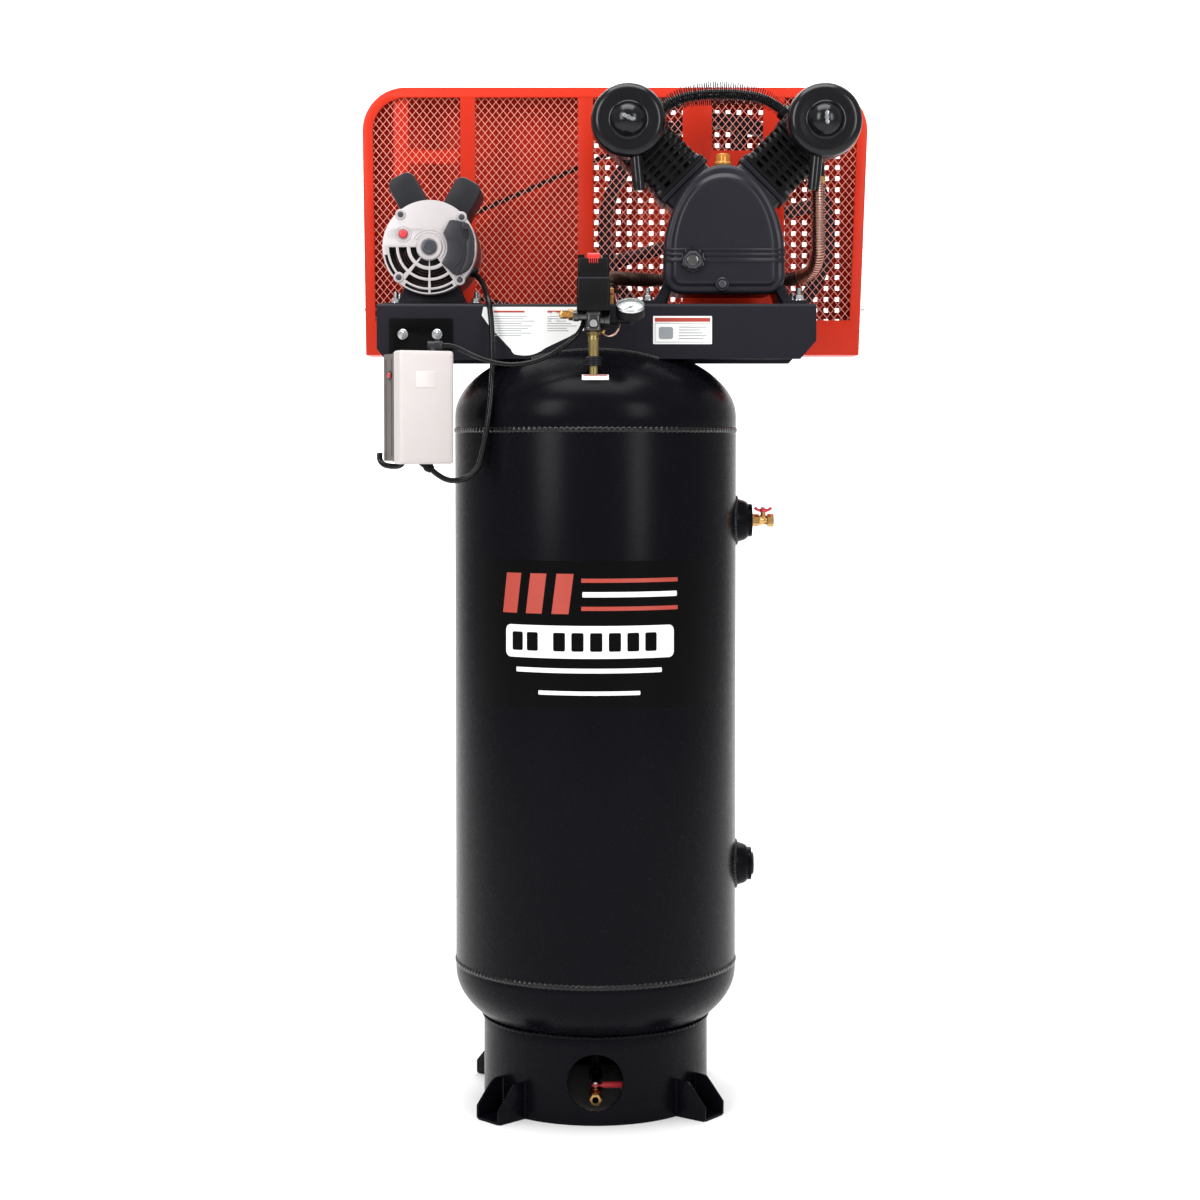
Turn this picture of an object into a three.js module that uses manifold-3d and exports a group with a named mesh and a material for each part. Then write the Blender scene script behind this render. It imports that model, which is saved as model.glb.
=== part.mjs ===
// V-twin air compressor with its motor and belt guard on top of a vertical receiver tank.
// Millimetres, +Z up, the front of the machine faces -Y, the tank's axis is x = 0, y = 0 inside the group.
import * as THREE from "three";
import { mergeVertices } from "three/addons/utils/BufferGeometryUtils.js";
import Module from "manifold-3d";

const wasm = await Module();
wasm.setup();

// ---------- driving dimensions ----------
const GAP = 0.3; // clearance between pieces that touch
const GROUP_OFFSET_X = -36; // brings the middle of the whole width to x = 0

const TANK = { radius: 254, wall: 4, headDepth: 135, tangentLow: 238, tangentHigh: 1236, bungRadius: 8 };
const TANK_SIDES = 36;
const HEAD_STEPS = 6;
const SEAM = { low: 253, high: 1212, halfWidth: 6, height: 2 };
const RING = { outer: 203, inner: 198, holeRadius: 50, holeZ: 75 };
const FOOT = { width: 60, wall: 4.5, floor: 5, tip: 262, shoulder: 222, high: 66, low: 25, inner: 185 };
const FOOT_ANGLES = { front_left: 224, front_right: 323, rear_left: 142, rear_right: 44 };
const PORT = { radius: 41, discRadius: 30, reach: 274, face: 283, upperZ: 1049, lowerZ: 424 };
const DRAIN = { z: 36, pipe: 8, radius: 12, front: -170, back: -112, leverY: -136, leverLength: 48 };

const DECK = { left: -383, right: 387, half: 130, top: 1433, bottom: 1336, sheet: 5 };
const DECK_CHAMFER = { leftX: 14, leftZ: 18, rightX: 28, rightZ: 32 };

const MOTOR = {
  x: -293, z: 1534, radius: 83, wall: 5,
  front: -95, frontSeam: -60, rearSeam: 75, rear: 100, // along y
};
const MOTOR_SHAFT = 9;
const MOTOR_GLAND = { seat: [73.3, -48, -38.9], heading: [0.5, -0.7, -0.51], length: 10 };
const EAR = { width: 50, base: 60, reach: 140, corner: 16, front: -75, rear: 55 };
const EARS = { left: { angle: -27, shift: 8 }, right: { angle: 29, shift: 6 } };
const CRADLE = { plateHalf: 88, plateTop: 6, footHalf: 60, topHalf: 44, height: 40, front: -50, rear: 62 };
const RESET = { x: -46, z: 23, radius: 7, travel: 2 };

const CRANK = { x: 227, z: 1585, journal: 14, throw: 25 };
const CASE = {
  half: 107, bottom: 1452, corner: 32, shoulder: 1530, apex: 1679, wall: 10,
  front: -110, seam: -80, rear: 90, // along y
};
const BANK_ANGLE = 45;
const BANK_Y = -10;
const BARREL = { foot: 104, top: 190, bore: 33, core: 42, fin: 54, fins: 5, finThickness: 4 };
const HEAD = { half: 54, depthHalf: 55, top: 248, fins: 5, finDepth: 16, finThickness: 7 };
const PISTON = { radius: 31.9, length: 50, middleTop: 163, travel: 25, wall: 5 };
const FILTER = { side: 170, z: 1747, radius: 65, front: -190, rear: -130, neck: 22 };
const INTAKE = { inset: 13, top: 1682.8, bottom: 1628, lean: 6, radius: 10.5 };

const PULLEY = { y: 202, outer: 62, beltOuter: 59, halfWidth: 16 };
const FLYWHEEL = {
  outer: 223, beltOuter: 221, inner: 199, halfWidth: 20, hub: 38,
  spokes: 6, spokeWidth: 24, spokeHalfDepth: 8, firstSpoke: 76,
};
const BELT = { thickness: 9, halfWidth: 6, grooveHalf: 7, clearance: 1.5 };

const GUARD = { left: -435, right: 507, taperLeft: 5, taperRight: 15, bottom: 1353, top: 1851, corner: 80 };
const GUARD_DEPTH = { front: 150, seam: 200, rear: 250, sheet: 3 };
const GUARD_BORDER = 19;
const GUARD_SILL = 1418;
const GUARD_HOLE = { motor: 30, crank: 55 };
const STRUTS = [[-253, -225], [-33, -5]];
const PUMP_PANEL = { left: 162, right: 352, windowLeft: 217, windowRight: 312, windowSill: 1734 };

const SWITCH = {
  x: -3, y: -212, half: 28.5, depth: 30, corner: 4, bottom: 1415, parting: 1471, top: 1504,
  lidInset: 1.5, hornHeight: 6, hornInset: 2,
};
const KNOB = { half: 14, depth: 12, bottom: 1492, top: 1513 };
const MANIFOLD = { z: 1400, radius: 14, bottom: 1381.3, arm: 9 };
const RISER = { top: 1381, collarTop: 1337, collarBottom: 1321, collar: 14, pipe: 9.5, foot: 8 };
const GAUGE = { x: 60, tilt: 59, radius: 25, depth: 22, pipe: 6, backZ: 1407, recess: 6, zeroAngle: 45 };
const SAFETY = { start: -38.3, end: -62, radius: 10, z: 1404, pullTravel: 4 };

const BOX = {
  x: -303, y: -193, yaw: 25, width: 96, depth: 85, bottom: 1153, top: 1347,
  coverDepth: 34, corner: 9, lip: 4, baseInset: 5,
};
const GLAND_LENGTH = 26;
const UPPER_GLAND = { tip: [-262, -205, 1357], heading: [1, 0, 0], radius: 8 };
const LOWER_GLAND = { tip: [-282.43, -184, 1141.9], heading: [0.766, 0, -0.643], radius: 8 };
const BRACKET = { left: -361, right: -250, top: 1407, bottom: 1230, sheet: 3 };
const BUTTON = { z: 1305, radius: 5, height: 6, travel: 2 };

// The supply lead's moulded boot, in the starter box's own frame.
const LEAD_BOOT = {
  radius: 5,
  route: [
    [-28, 4, 1160], [-28.5, 5, 1153], [-33, 14, 1149], [-41, 28, 1149],
    [-48, 40, 1152], [-52, 47, 1160], [-52, 48, 1172],
  ],
};

const SWITCH_CABLE = { radius: 4, sides: 8, steps: 24 };
const MOTOR_CABLE = { radius: 5, sides: 8, steps: 30 };

const SWITCH_CABLE_ROUTE = [
  [-20, -195, 1414.6], [-20, -195, 1404], [-22.5, -196.7, 1391], [-31, -202, 1376], [-43, -208, 1364],
  [-60, -212, 1351], [-85, -215, 1336], [-116, -216, 1326], [-148, -216, 1323.5], [-177, -215.5, 1328],
  [-203, -212, 1337], [-222, -208, 1346], [-237, -205.6, 1353], [-250, -205, 1356.8], [-261.7, -205, 1357],
];
const MOTOR_CABLE_ROUTE = [
  [-214.55, -55.2, 1489.85], [-209.7, -62, 1484.9], [-204.7, -69, 1479.8], [-199.5, -81, 1471.6],
  [-195, -99, 1460.6], [-191, -117, 1450.5], [-188, -130.5, 1441.3], [-185, -140, 1428.5],
  [-182.5, -145.5, 1410], [-180.5, -150, 1386], [-179, -159, 1350], [-178.5, -172, 1313],
  [-180, -182, 1275], [-184, -187, 1236], [-189, -188, 1204], [-198.6, -187.6, 1158.8],
  [-208, -187, 1140.8], [-224.1, -186, 1128.4], [-244, -185, 1124], [-260.1, -184.3, 1126.8],
  [-274.2, -184, 1135], [-282.2, -184, 1141.7],
];
const DISCHARGE_ROUTE = [
  [403, 30, 1671.6], [403, 30, 1655], [404, 32, 1620], [405, 40, 1570], [405, 52, 1532],
  [396, 74, 1505], [370, 96, 1493], [320, 108, 1490], [150, 112, 1490], [90, 104, 1490],
  [54, 76, 1490], [34, 46, 1489], [25.5, 25, 1482], [25, 20, 1470], [25, 20, 1458.4],
];
const INTERCOOLER_ROUTE = [
  [109.9, 10, 1780.4], [124, 10, 1794], [152, 10, 1809], [188, 10, 1816], [227, 10, 1818],
  [266, 10, 1816], [302, 10, 1809], [330, 10, 1794], [344.1, 10, 1780.4],
];
const UNLOADER_ROUTE = [
  [13, -195.5, 1386.6], [13, -195.5, 1379], [22, -198, 1373], [34, -200, 1377], [41, -196, 1392],
  [40, -182, 1415], [37, -160, 1437], [33, -135, 1448], [28, -95, 1452], [25, -45, 1452], [25, 6.6, 1450],
];

// ---------- helpers ----------
const rad = THREE.MathUtils.degToRad;

function finish(name, geometry, look) {
  const mesh = new THREE.Mesh(geometry, look);
  mesh.name = name;
  return mesh;
}

function solidOf(geometry) {
  const bare = geometry.clone();
  bare.deleteAttribute("normal");
  bare.deleteAttribute("uv");
  const merged = mergeVertices(bare, 1e-4);
  const vertProperties = new Float32Array(merged.attributes.position.array);
  const triVerts = new Uint32Array(merged.index.array);
  return new wasm.Manifold(new wasm.Mesh({ numProp: 3, vertProperties, triVerts }));
}

function geometryOf(solid) {
  const { vertProperties, triVerts } = solid.getMesh();
  const geometry = new THREE.BufferGeometry();
  geometry.setAttribute("position", new THREE.BufferAttribute(vertProperties, 3));
  geometry.setIndex(new THREE.BufferAttribute(triVerts, 1));
  return geometry;
}

function join(...geometries) {
  const [first, ...rest] = geometries.map(solidOf);
  return geometryOf(rest.reduce((sum, next) => sum.add(next), first));
}

function cut(base, ...tools) {
  return geometryOf(tools.map(solidOf).reduce((left, tool) => left.subtract(tool), solidOf(base)));
}

function box(x0, x1, y0, y1, z0, z1) {
  const geometry = new THREE.BoxGeometry(x1 - x0, y1 - y0, z1 - z0);
  return geometry.translate((x0 + x1) / 2, (y0 + y1) / 2, (z0 + z1) / 2);
}

function rodX(radius, x0, x1, y, z, sides = 20) {
  const geometry = new THREE.CylinderGeometry(radius, radius, x1 - x0, sides);
  return geometry.rotateZ(-Math.PI / 2).translate((x0 + x1) / 2, y, z);
}

function rodY(radius, y0, y1, x, z, sides = 24) {
  const geometry = new THREE.CylinderGeometry(radius, radius, y1 - y0, sides);
  return geometry.translate(x, (y0 + y1) / 2, z);
}

function rodZ(radius, z0, z1, x, y, sides = 20) {
  const geometry = new THREE.CylinderGeometry(radius, radius, z1 - z0, sides);
  return geometry.rotateX(Math.PI / 2).translate(x, y, (z0 + z1) / 2);
}

// A rod along heading, from start to end either side of a seat point.
function rodAlong(radius, seat, heading, start, end, sides) {
  const direction = new THREE.Vector3(...heading).normalize();
  const rod = new THREE.CylinderGeometry(radius, radius, end - start, sides);
  rod.translate(0, (start + end) / 2, 0);
  rod.applyQuaternion(new THREE.Quaternion().setFromUnitVectors(new THREE.Vector3(0, 1, 0), direction));
  return rod.translate(...seat);
}

// Spins [radius, height] points about the Z axis.
function latheZ(points, sides) {
  const profile = points.map(([radius, height]) => new THREE.Vector2(radius, height));
  return new THREE.LatheGeometry(profile, sides).rotateX(Math.PI / 2);
}

// Spins [radius, y] points about the Y axis.
function latheY(points, sides) {
  const profile = points.map(([radius, height]) => new THREE.Vector2(radius, height));
  return new THREE.LatheGeometry(profile, sides);
}

// Extrudes a shape drawn in x and z from y0 back to y1.
function slabY(shape, y0, y1, curveSegments = 5) {
  const geometry = new THREE.ExtrudeGeometry(shape, { depth: y1 - y0, bevelEnabled: false, curveSegments });
  return geometry.rotateX(Math.PI / 2).translate(0, y1, 0);
}

// Extrudes a shape drawn in x and y from z0 up to z1.
function slabZ(shape, z0, z1, curveSegments = 2) {
  const geometry = new THREE.ExtrudeGeometry(shape, { depth: z1 - z0, bevelEnabled: false, curveSegments });
  return geometry.translate(0, 0, z0);
}

function polygon(points) {
  return new THREE.Shape(points.map(([x, y]) => new THREE.Vector2(x, y)));
}

function rectangle(x0, x1, y0, y1) {
  return polygon([[x0, y0], [x1, y0], [x1, y1], [x0, y1]]);
}

function roundedRectangle(x0, x1, y0, y1, radius) {
  const shape = new THREE.Shape();
  shape.moveTo(x0 + radius, y0);
  shape.lineTo(x1 - radius, y0);
  shape.absarc(x1 - radius, y0 + radius, radius, -Math.PI / 2, 0);
  shape.lineTo(x1, y1 - radius);
  shape.absarc(x1 - radius, y1 - radius, radius, 0, Math.PI / 2);
  shape.lineTo(x0 + radius, y1);
  shape.absarc(x0 + radius, y1 - radius, radius, Math.PI / 2, Math.PI);
  shape.lineTo(x0, y0 + radius);
  shape.absarc(x0 + radius, y0 + radius, radius, Math.PI, Math.PI * 1.5);
  return shape;
}

function tube(route, radius, sides, steps) {
  const points = route.map((point) => new THREE.Vector3(...point));
  const path = new THREE.CatmullRomCurve3(points, false, "centripetal");
  const corners = Array.from({ length: sides }, (_, i) => {
    const angle = (2 * Math.PI * i) / sides;
    return [radius * Math.cos(angle), radius * Math.sin(angle)];
  });
  return new THREE.ExtrudeGeometry(polygon(corners), { steps, extrudePath: path, bevelEnabled: false });
}

// ---------- materials ----------
function look(color, roughness, metalness) {
  return new THREE.MeshStandardMaterial({ color, roughness, metalness });
}

const BLACK_PAINT = look(0x25272b, 0.4, 0.2);
const RED_PAINT = look(0xf03c1e, 0.4, 0.1);
const BRASS = look(0xc9a46a, 0.3, 1.0);
const STEEL = look(0xb9bcc0, 0.3, 1.0);
const ALUMINIUM = look(0xd6d8da, 0.45, 0.8);
const COPPER = look(0xb87860, 0.35, 0.9);
const RED_PLASTIC = look(0xd8404f, 0.45, 0.0);
const BLACK_PLASTIC = look(0x1c1d20, 0.5, 0.0);
const BEIGE_PLASTIC = look(0xede6e6, 0.5, 0.0);
const BLACK_RUBBER = look(0x17171a, 0.7, 0.0);
const GLASS = look(0xd8dcd8, 0.1, 0.0);
const AMBER = look(0xd89540, 0.3, 0.3);
const WHITE_ENAMEL = look(0xf6f6f4, 0.5, 0.0);

// ---------- receiver tank ----------
function headHeight(radius, size = TANK.radius, depth = TANK.headDepth) {
  return depth * Math.sqrt(1 - (radius / size) ** 2);
}

// Profile of a shell with ellipsoidal heads, from its lowest point to its highest.
function tankProfile(radius, depth, steps, belt = []) {
  const quarter = Array.from({ length: steps + 1 }, (_, i) => (Math.PI / 2) * (i / steps));
  const low = quarter.map((t) => [radius * Math.sin(t), TANK.tangentLow - depth * Math.cos(t)]);
  const high = quarter.map((t) => [radius * Math.cos(t), TANK.tangentHigh + depth * Math.sin(t)]);
  low[0][0] = 0;
  high[steps][0] = 0;
  return [...low, ...belt, ...high];
}

function seamProfile(z) {
  return [
    [TANK.radius, z - SEAM.halfWidth],
    [TANK.radius + SEAM.height, z],
    [TANK.radius, z + SEAM.halfWidth],
  ];
}

// The tank's outside with a gap round it, faceted like the tank, for shaping what sits on it.
function domeCutter(gap) {
  return latheZ(tankProfile(TANK.radius + gap, TANK.headDepth + gap, HEAD_STEPS), TANK_SIDES);
}

function tankShell() {
  const seams = [...seamProfile(SEAM.low), ...seamProfile(SEAM.high)];
  const outer = latheZ(tankProfile(TANK.radius, TANK.headDepth, HEAD_STEPS, seams), TANK_SIDES);
  const inner = latheZ(tankProfile(TANK.radius - TANK.wall, TANK.headDepth - TANK.wall - 1, 4), TANK_SIDES);
  const bung = rodZ(TANK.bungRadius, TANK.tangentLow - TANK.headDepth - 5, TANK.tangentLow, 0, 0, 12);
  return finish("tank_shell", cut(outer, inner, bung), BLACK_PAINT);
}

function baseRing() {
  const top = TANK.tangentLow - headHeight(RING.inner) - 1.2;
  const { inner, outer } = RING;
  const wall = latheZ([[inner, 0], [outer, 0], [outer, top], [inner, top], [inner, 0]], 48);
  const access = rodY(RING.holeRadius, -RING.outer - 10, -RING.inner + 25, 0, RING.holeZ, 28);
  return finish("base_ring", cut(wall, access), BLACK_PAINT);
}

function foot(name, angle) {
  const side = polygon([
    [FOOT.inner, 0], [FOOT.tip, 0], [FOOT.tip, FOOT.low], [FOOT.shoulder + 14, FOOT.high - 14],
    [FOOT.shoulder, FOOT.high], [FOOT.inner, FOOT.high],
  ]);
  const block = slabY(side, -FOOT.width / 2, FOOT.width / 2);
  const inside = FOOT.width / 2 - FOOT.wall;
  const channel = box(FOOT.inner - 5, FOOT.tip + 5, -inside, inside, FOOT.floor, FOOT.high + 5);
  const bolt = rodZ(6, -5, FOOT.floor + 5, 240, 0, 14);
  const ring = rodZ(RING.outer + GAP, -5, FOOT.high + 5, 0, 0, 96);
  const mesh = finish(name, cut(block, channel, bolt, ring), BLACK_PAINT);
  mesh.rotation.z = rad(angle);
  return mesh;
}

function portBoss(name, z) {
  const half = PORT.radius;
  const profile = [
    [0, TANK.radius - 14], [half, TANK.radius - 14], [half, TANK.radius + 2], [half - 4, PORT.reach - 8],
    [PORT.discRadius, PORT.reach], [PORT.discRadius, PORT.face], [0, PORT.face],
  ];
  const stub = latheY(profile, 24).rotateZ(-Math.PI / 2).translate(0, 0, z);
  const wall = rodZ(TANK.radius + GAP, z - half - 5, z + half + 5, 0, 0, 96);
  return finish(name, cut(stub, wall), BLACK_PAINT);
}

function outletValve() {
  const start = PORT.face + GAP;
  const body = join(
    rodX(10.5, start, start + 14, 0, PORT.upperZ, 6),
    rodX(9, start + 13, start + 30, 0, PORT.upperZ, 16),
    rodX(11, start + 27, start + 39, 0, PORT.upperZ, 6),
    rodZ(5, PORT.upperZ, PORT.upperZ + 14, start + 20, 0, 12),
  );
  const handleZ = PORT.upperZ + 14 + GAP;
  const handleX = start + 20;
  const handle = join(
    rodZ(6.5, handleZ, handleZ + 7, handleX, 0, 12),
    box(handleX - 17, handleX + 17, -3.5, 3.5, handleZ + 2, handleZ + 10),
  );
  return [finish("outlet_valve_body", body, BRASS), finish("outlet_valve_handle", handle, RED_PLASTIC)];
}

function lowerPlug() {
  const start = PORT.face + GAP;
  const disc = rodX(20, start, start + 4, 0, PORT.lowerZ, 24);
  const socket = rodX(6, start + 1, start + 8, 0, PORT.lowerZ, 6);
  return finish("lower_port_plug", cut(disc, socket), BLACK_PAINT);
}

function drainValve() {
  const top = TANK.tangentLow - TANK.headDepth - GAP;
  const body = join(
    rodZ(10, DRAIN.z - 3, top, 0, 0, 16),
    rodY(12, -14, 12, 0, DRAIN.z, 16),
    rodY(DRAIN.pipe, DRAIN.back - 2, -11, 0, DRAIN.z, 16),
    rodY(DRAIN.radius, DRAIN.front, DRAIN.back, 0, DRAIN.z, 6),
    rodZ(5, DRAIN.z, DRAIN.z + 16, 0, DRAIN.leverY, 12),
  );
  const leverZ = DRAIN.z + 16 + GAP;
  const lever = join(
    rodZ(8, leverZ, leverZ + 4, 0, DRAIN.leverY, 16),
    box(0, DRAIN.leverLength, DRAIN.leverY - 5, DRAIN.leverY + 5, leverZ, leverZ + 3),
  );
  return [finish("drain_valve_body", body, BRASS), finish("drain_valve_lever", lever, RED_PLASTIC)];
}

// ---------- platform ----------
function platform() {
  const { left, right, half, top, bottom, sheet } = DECK;
  const flange = polygon([
    [left + DECK_CHAMFER.leftX, bottom], [right - DECK_CHAMFER.rightX, bottom],
    [right, bottom + DECK_CHAMFER.rightZ],
    [right, top], [left, top], [left, bottom + DECK_CHAMFER.leftZ],
  ]);
  const channel = join(
    box(left, right, -half, half, top - sheet, top),
    slabY(flange, -half, -half + sheet),
    slabY(flange, half - sheet, half),
  );
  const valveHole = rodZ(17, top - sheet - 5, top + 5, 25, 20, 20);
  return finish("platform", cut(channel, domeCutter(GAP), valveHole), BLACK_PAINT);
}

// ---------- motor ----------
function motorPieces() {
  const { x, z, radius, wall, front, frontSeam, rearSeam, rear } = MOTOR;
  const at = (geometry) => geometry.translate(x, 0, z);

  const tubeWall = latheY(
    [[radius - wall, frontSeam], [radius, frontSeam], [radius, rearSeam], [radius - wall, rearSeam],
      [radius - wall, frontSeam]], 32);
  const gland = rodAlong(8, MOTOR_GLAND.seat, MOTOR_GLAND.heading, -12, MOTOR_GLAND.length, 12);
  const frame = at(join(tubeWall, gland));

  const bellProfile = [
    [0, front - 4], [24, front - 4], [27, front], [radius - 8, front], [radius, front + 8],
    [radius, frontSeam - GAP], [0, frontSeam - GAP],
  ];
  const pocket = rodY(RESET.radius + 0.5, front - 8, front + 8, RESET.x, RESET.z, 20);
  const cap = rodY(13.5, front - 8, front - 3, 0, 0, 24);
  const bell = at(join(cut(latheY(bellProfile, 32), pocket), cap));

  const bore = MOTOR_SHAFT + 0.4;
  const rearProfile = [
    [bore, rearSeam + GAP], [radius, rearSeam + GAP], [radius, rear - 8], [radius - 8, rear], [bore, rear],
    [bore, rearSeam + GAP],
  ];
  const rotor = at(join(rodY(50, -50, 62, 0, 0, 32), rodY(MOTOR_SHAFT, -56, 219, 0, 0, 24)));

  const button = at(rodY(RESET.radius, front - 5, front + 5, RESET.x, RESET.z, 20));

  const coverOutline = polygon([
    [36, 46], [70, 40], [80, 15], [80, -14], [70, -40], [44, -49], [22, -29], [32, -7], [30, 15], [25, 24],
  ]);
  const cover = at(slabY(coverOutline, front - 14, front - GAP));

  const { plateHalf, footHalf, topHalf } = CRADLE;
  const seat = DECK.top + GAP;
  const plateTop = DECK.top + CRADLE.plateTop;
  const saddleTop = DECK.top + CRADLE.height;
  const saddle = polygon([
    [-plateHalf, seat], [plateHalf, seat], [plateHalf, plateTop], [footHalf, plateTop], [topHalf, saddleTop],
    [-topHalf, saddleTop], [-footHalf, plateTop], [-plateHalf, plateTop],
  ]);
  const cradle = cut(
    slabY(saddle, CRADLE.front, CRADLE.rear).translate(x, 0, 0),
    rodY(radius + GAP, CRADLE.front - 10, CRADLE.rear + 18, x, z, 64),
  );

  return [
    finish("motor_frame", frame, BLACK_PAINT),
    finish("motor_front_bell", bell, ALUMINIUM),
    finish("motor_rear_bell", at(latheY(rearProfile, 32)), ALUMINIUM),
    finish("motor_rotor", rotor, STEEL),
    finish("motor_reset_button", button, RED_PLASTIC),
    finish("motor_terminal_cover", cover, BLACK_PLASTIC),
    finish("motor_cradle", cradle, BLACK_PAINT),
  ];
}

function capacitorCover(name, { angle, shift }) {
  const { width, base, reach, corner, front, rear } = EAR;
  const outline = roundedRectangle(shift - width / 2, shift + width / 2, base, reach, corner);
  const motorSpace = rodY(MOTOR.radius + GAP, front - 5, rear + 5, 0, 0, 96);
  const mesh = finish(name, cut(slabY(outline, front, rear, 4), motorSpace), BLACK_PAINT);
  mesh.position.set(MOTOR.x, 0, MOTOR.z);
  mesh.rotation.y = rad(angle);
  return mesh;
}

// ---------- pump ----------
function caseOutline(inset = 0) {
  const { half, bottom, corner, shoulder, apex } = CASE;
  const side = half - inset;
  const floor = bottom + inset;
  const peak = apex - inset * 1.3;
  const bend = corner - inset;
  const shape = new THREE.Shape();
  shape.moveTo(-side + bend, floor);
  shape.lineTo(side - bend, floor);
  shape.absarc(side - bend, floor + bend, bend, -Math.PI / 2, 0);
  shape.lineTo(side, shoulder);
  shape.bezierCurveTo(side - 6, shoulder + 70, side * 0.58, peak - 14, 0, peak);
  shape.bezierCurveTo(-side * 0.58, peak - 14, -side + 6, shoulder + 70, -side, shoulder);
  shape.lineTo(-side, floor + bend);
  shape.absarc(-side + bend, floor + bend, bend, Math.PI, Math.PI * 1.5);
  return shape;
}

// Turns a geometry drawn along +Z into line with one cylinder bank.
function bank(geometry, side) {
  return geometry.rotateY(side * rad(BANK_ANGLE)).translate(0, BANK_Y, CRANK.z);
}

function pumpFoot(side) {
  const seat = DECK.top + GAP;
  const outline = polygon([
    [side * 98, seat], [side * 150, seat], [side * 150, seat + 8], [side * 126, seat + 8],
    [side * 104, seat + 52], [side * 84, seat + 40],
  ]);
  return slabY(side > 0 ? outline : polygon(outline.getPoints().reverse().map((p) => [p.x, p.y])), -72, 80);
}

function crankcase() {
  const { seam, rear, wall } = CASE;
  const bossTop = CASE.apex + 4;
  const decks = [-1, 1].map((side) => bank(box(-50, 50, -50, 50, 45, BARREL.foot - GAP), side));
  const shell = join(
    slabY(caseOutline(), seam, rear, 6),
    ...decks,
    rodZ(16, CASE.apex - 30, bossTop, 0, -50, 20),
    rodY(30, rear - 2, rear + 18, 0, CRANK.z, 24),
    pumpFoot(-1),
    pumpFoot(1),
  );
  const pocket = slabY(caseOutline(wall), seam - 5, rear - 16, 5);
  const bores = [-1, 1].map((side) => bank(rodZ(36, 20, BARREL.foot + 5, 0, 0, 18), side));
  const journal = rodY(CRANK.journal + 0.5, rear - 30, rear + 30, 0, CRANK.z, 32);
  return finish("crankcase", cut(shell, pocket, ...bores, journal), BLACK_PAINT);
}

function crankcaseCover() {
  const bevel = 9;
  const depth = CASE.seam - CASE.front - GAP - bevel;
  const plate = new THREE.ExtrudeGeometry(caseOutline(bevel), {
    depth, bevelThickness: bevel, bevelSize: bevel, bevelSegments: 2, curveSegments: 6,
  });
  const cover = plate.rotateX(Math.PI / 2).translate(0, CASE.seam - GAP, 0);
  const trim = box(-150, 150, CASE.seam - GAP, CASE.seam + 30, CASE.bottom - 30, CASE.apex + 30);
  const drainPlug = rodY(12, CASE.front - 11, CASE.front + 4, -4, CASE.bottom + 16, 6);
  return finish("crankcase_cover", join(cut(cover, trim), drainPlug), BLACK_PAINT);
}

function sightGlass() {
  const glass = rodY(22, CASE.front - 7, CASE.front - GAP, -56, 1510, 28);
  return finish("oil_sight_glass", glass, GLASS);
}

function fillerCap() {
  const seat = CASE.apex + 4 + GAP;
  const cap = join(rodZ(15, seat, seat + 5, 0, -50, 20), rodZ(12, seat + 4, seat + 20, 0, -50, 12));
  return finish("oil_filler_cap", cap, AMBER);
}

function barrel(name, side) {
  const { foot: low, top, bore, core, fin, fins, finThickness } = BARREL;
  const profile = [[bore, low], [fin, low], [fin, low + 6], [core, low + 6]];
  const pitch = (top - low - 14) / fins;
  for (let i = 0; i < fins; i += 1) {
    const z = low + 6 + pitch * (i + 1) - finThickness;
    profile.push([core, z], [fin, z], [fin, z + finThickness], [core, z + finThickness]);
  }
  profile.push([core, top], [bore, top], [bore, low]);
  return finish(name, bank(latheZ(profile, 18), side), BLACK_PAINT);
}

function head(name, side) {
  const { half, depthHalf, top, fins, finDepth, finThickness } = HEAD;
  const base = BARREL.top + GAP;
  const pitch = (2 * half - finThickness) / (fins - 1);
  const slots = Array.from({ length: fins - 1 }, (_, i) => {
    const x = -half + finThickness + pitch * i;
    return box(x, x + pitch - finThickness, -depthHalf - 5, depthHalf + 5, top - finDepth, top + 5);
  });
  const block = box(-half, half, -depthHalf, depthHalf, base, top);
  const finned = bank(cut(block, ...slots), side);
  const [x, y, z] = DISCHARGE_ROUTE[0];
  const outlet = rodZ(13, z + GAP, z + 28, x - CRANK.x, y, 16);
  return finish(name, side > 0 ? join(finned, outlet) : finned, BLACK_PAINT);
}

function piston(name, side) {
  const { radius, length, middleTop, wall } = PISTON;
  const bottom = middleTop - length;
  const profile = [
    [0, middleTop - 8], [radius - wall, middleTop - 8], [radius - wall, bottom],
    [radius, bottom], [radius, middleTop], [0, middleTop],
  ];
  return finish(name, bank(latheZ(profile, 24), side), ALUMINIUM);
}

function airFilter(name, side) {
  const { radius, front, rear, neck } = FILTER;
  const profile = [
    [0, front - 4], [16, front - 3], [28, front + 4], [34, front + 9], [44, front + 6], [56, front + 8],
    [radius - 1, front + 17], [radius, front + 24], [radius, rear - 4], [radius - 5, rear], [neck, rear],
    [neck, BANK_Y - HEAD.depthHalf - GAP], [0, BANK_Y - HEAD.depthHalf - GAP],
  ];
  const canister = latheY(profile, 24).translate(side * FILTER.side, 0, FILTER.z);
  const start = new THREE.Vector3(side * (FILTER.side - INTAKE.inset), (front + rear) / 2, INTAKE.top + 4);
  const end = new THREE.Vector3(start.x - side * INTAKE.lean, start.y, INTAKE.bottom);
  const length = start.distanceTo(end);
  const pipe = new THREE.CylinderGeometry(INTAKE.radius, INTAKE.radius, length, 16);
  pipe.applyQuaternion(new THREE.Quaternion().setFromUnitVectors(
    new THREE.Vector3(0, 1, 0), start.clone().sub(end).normalize()));
  const middle = start.clone().add(end).multiplyScalar(0.5);
  pipe.translate(middle.x, middle.y, middle.z);
  return finish(name, join(canister, pipe), BLACK_PLASTIC);
}

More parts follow.
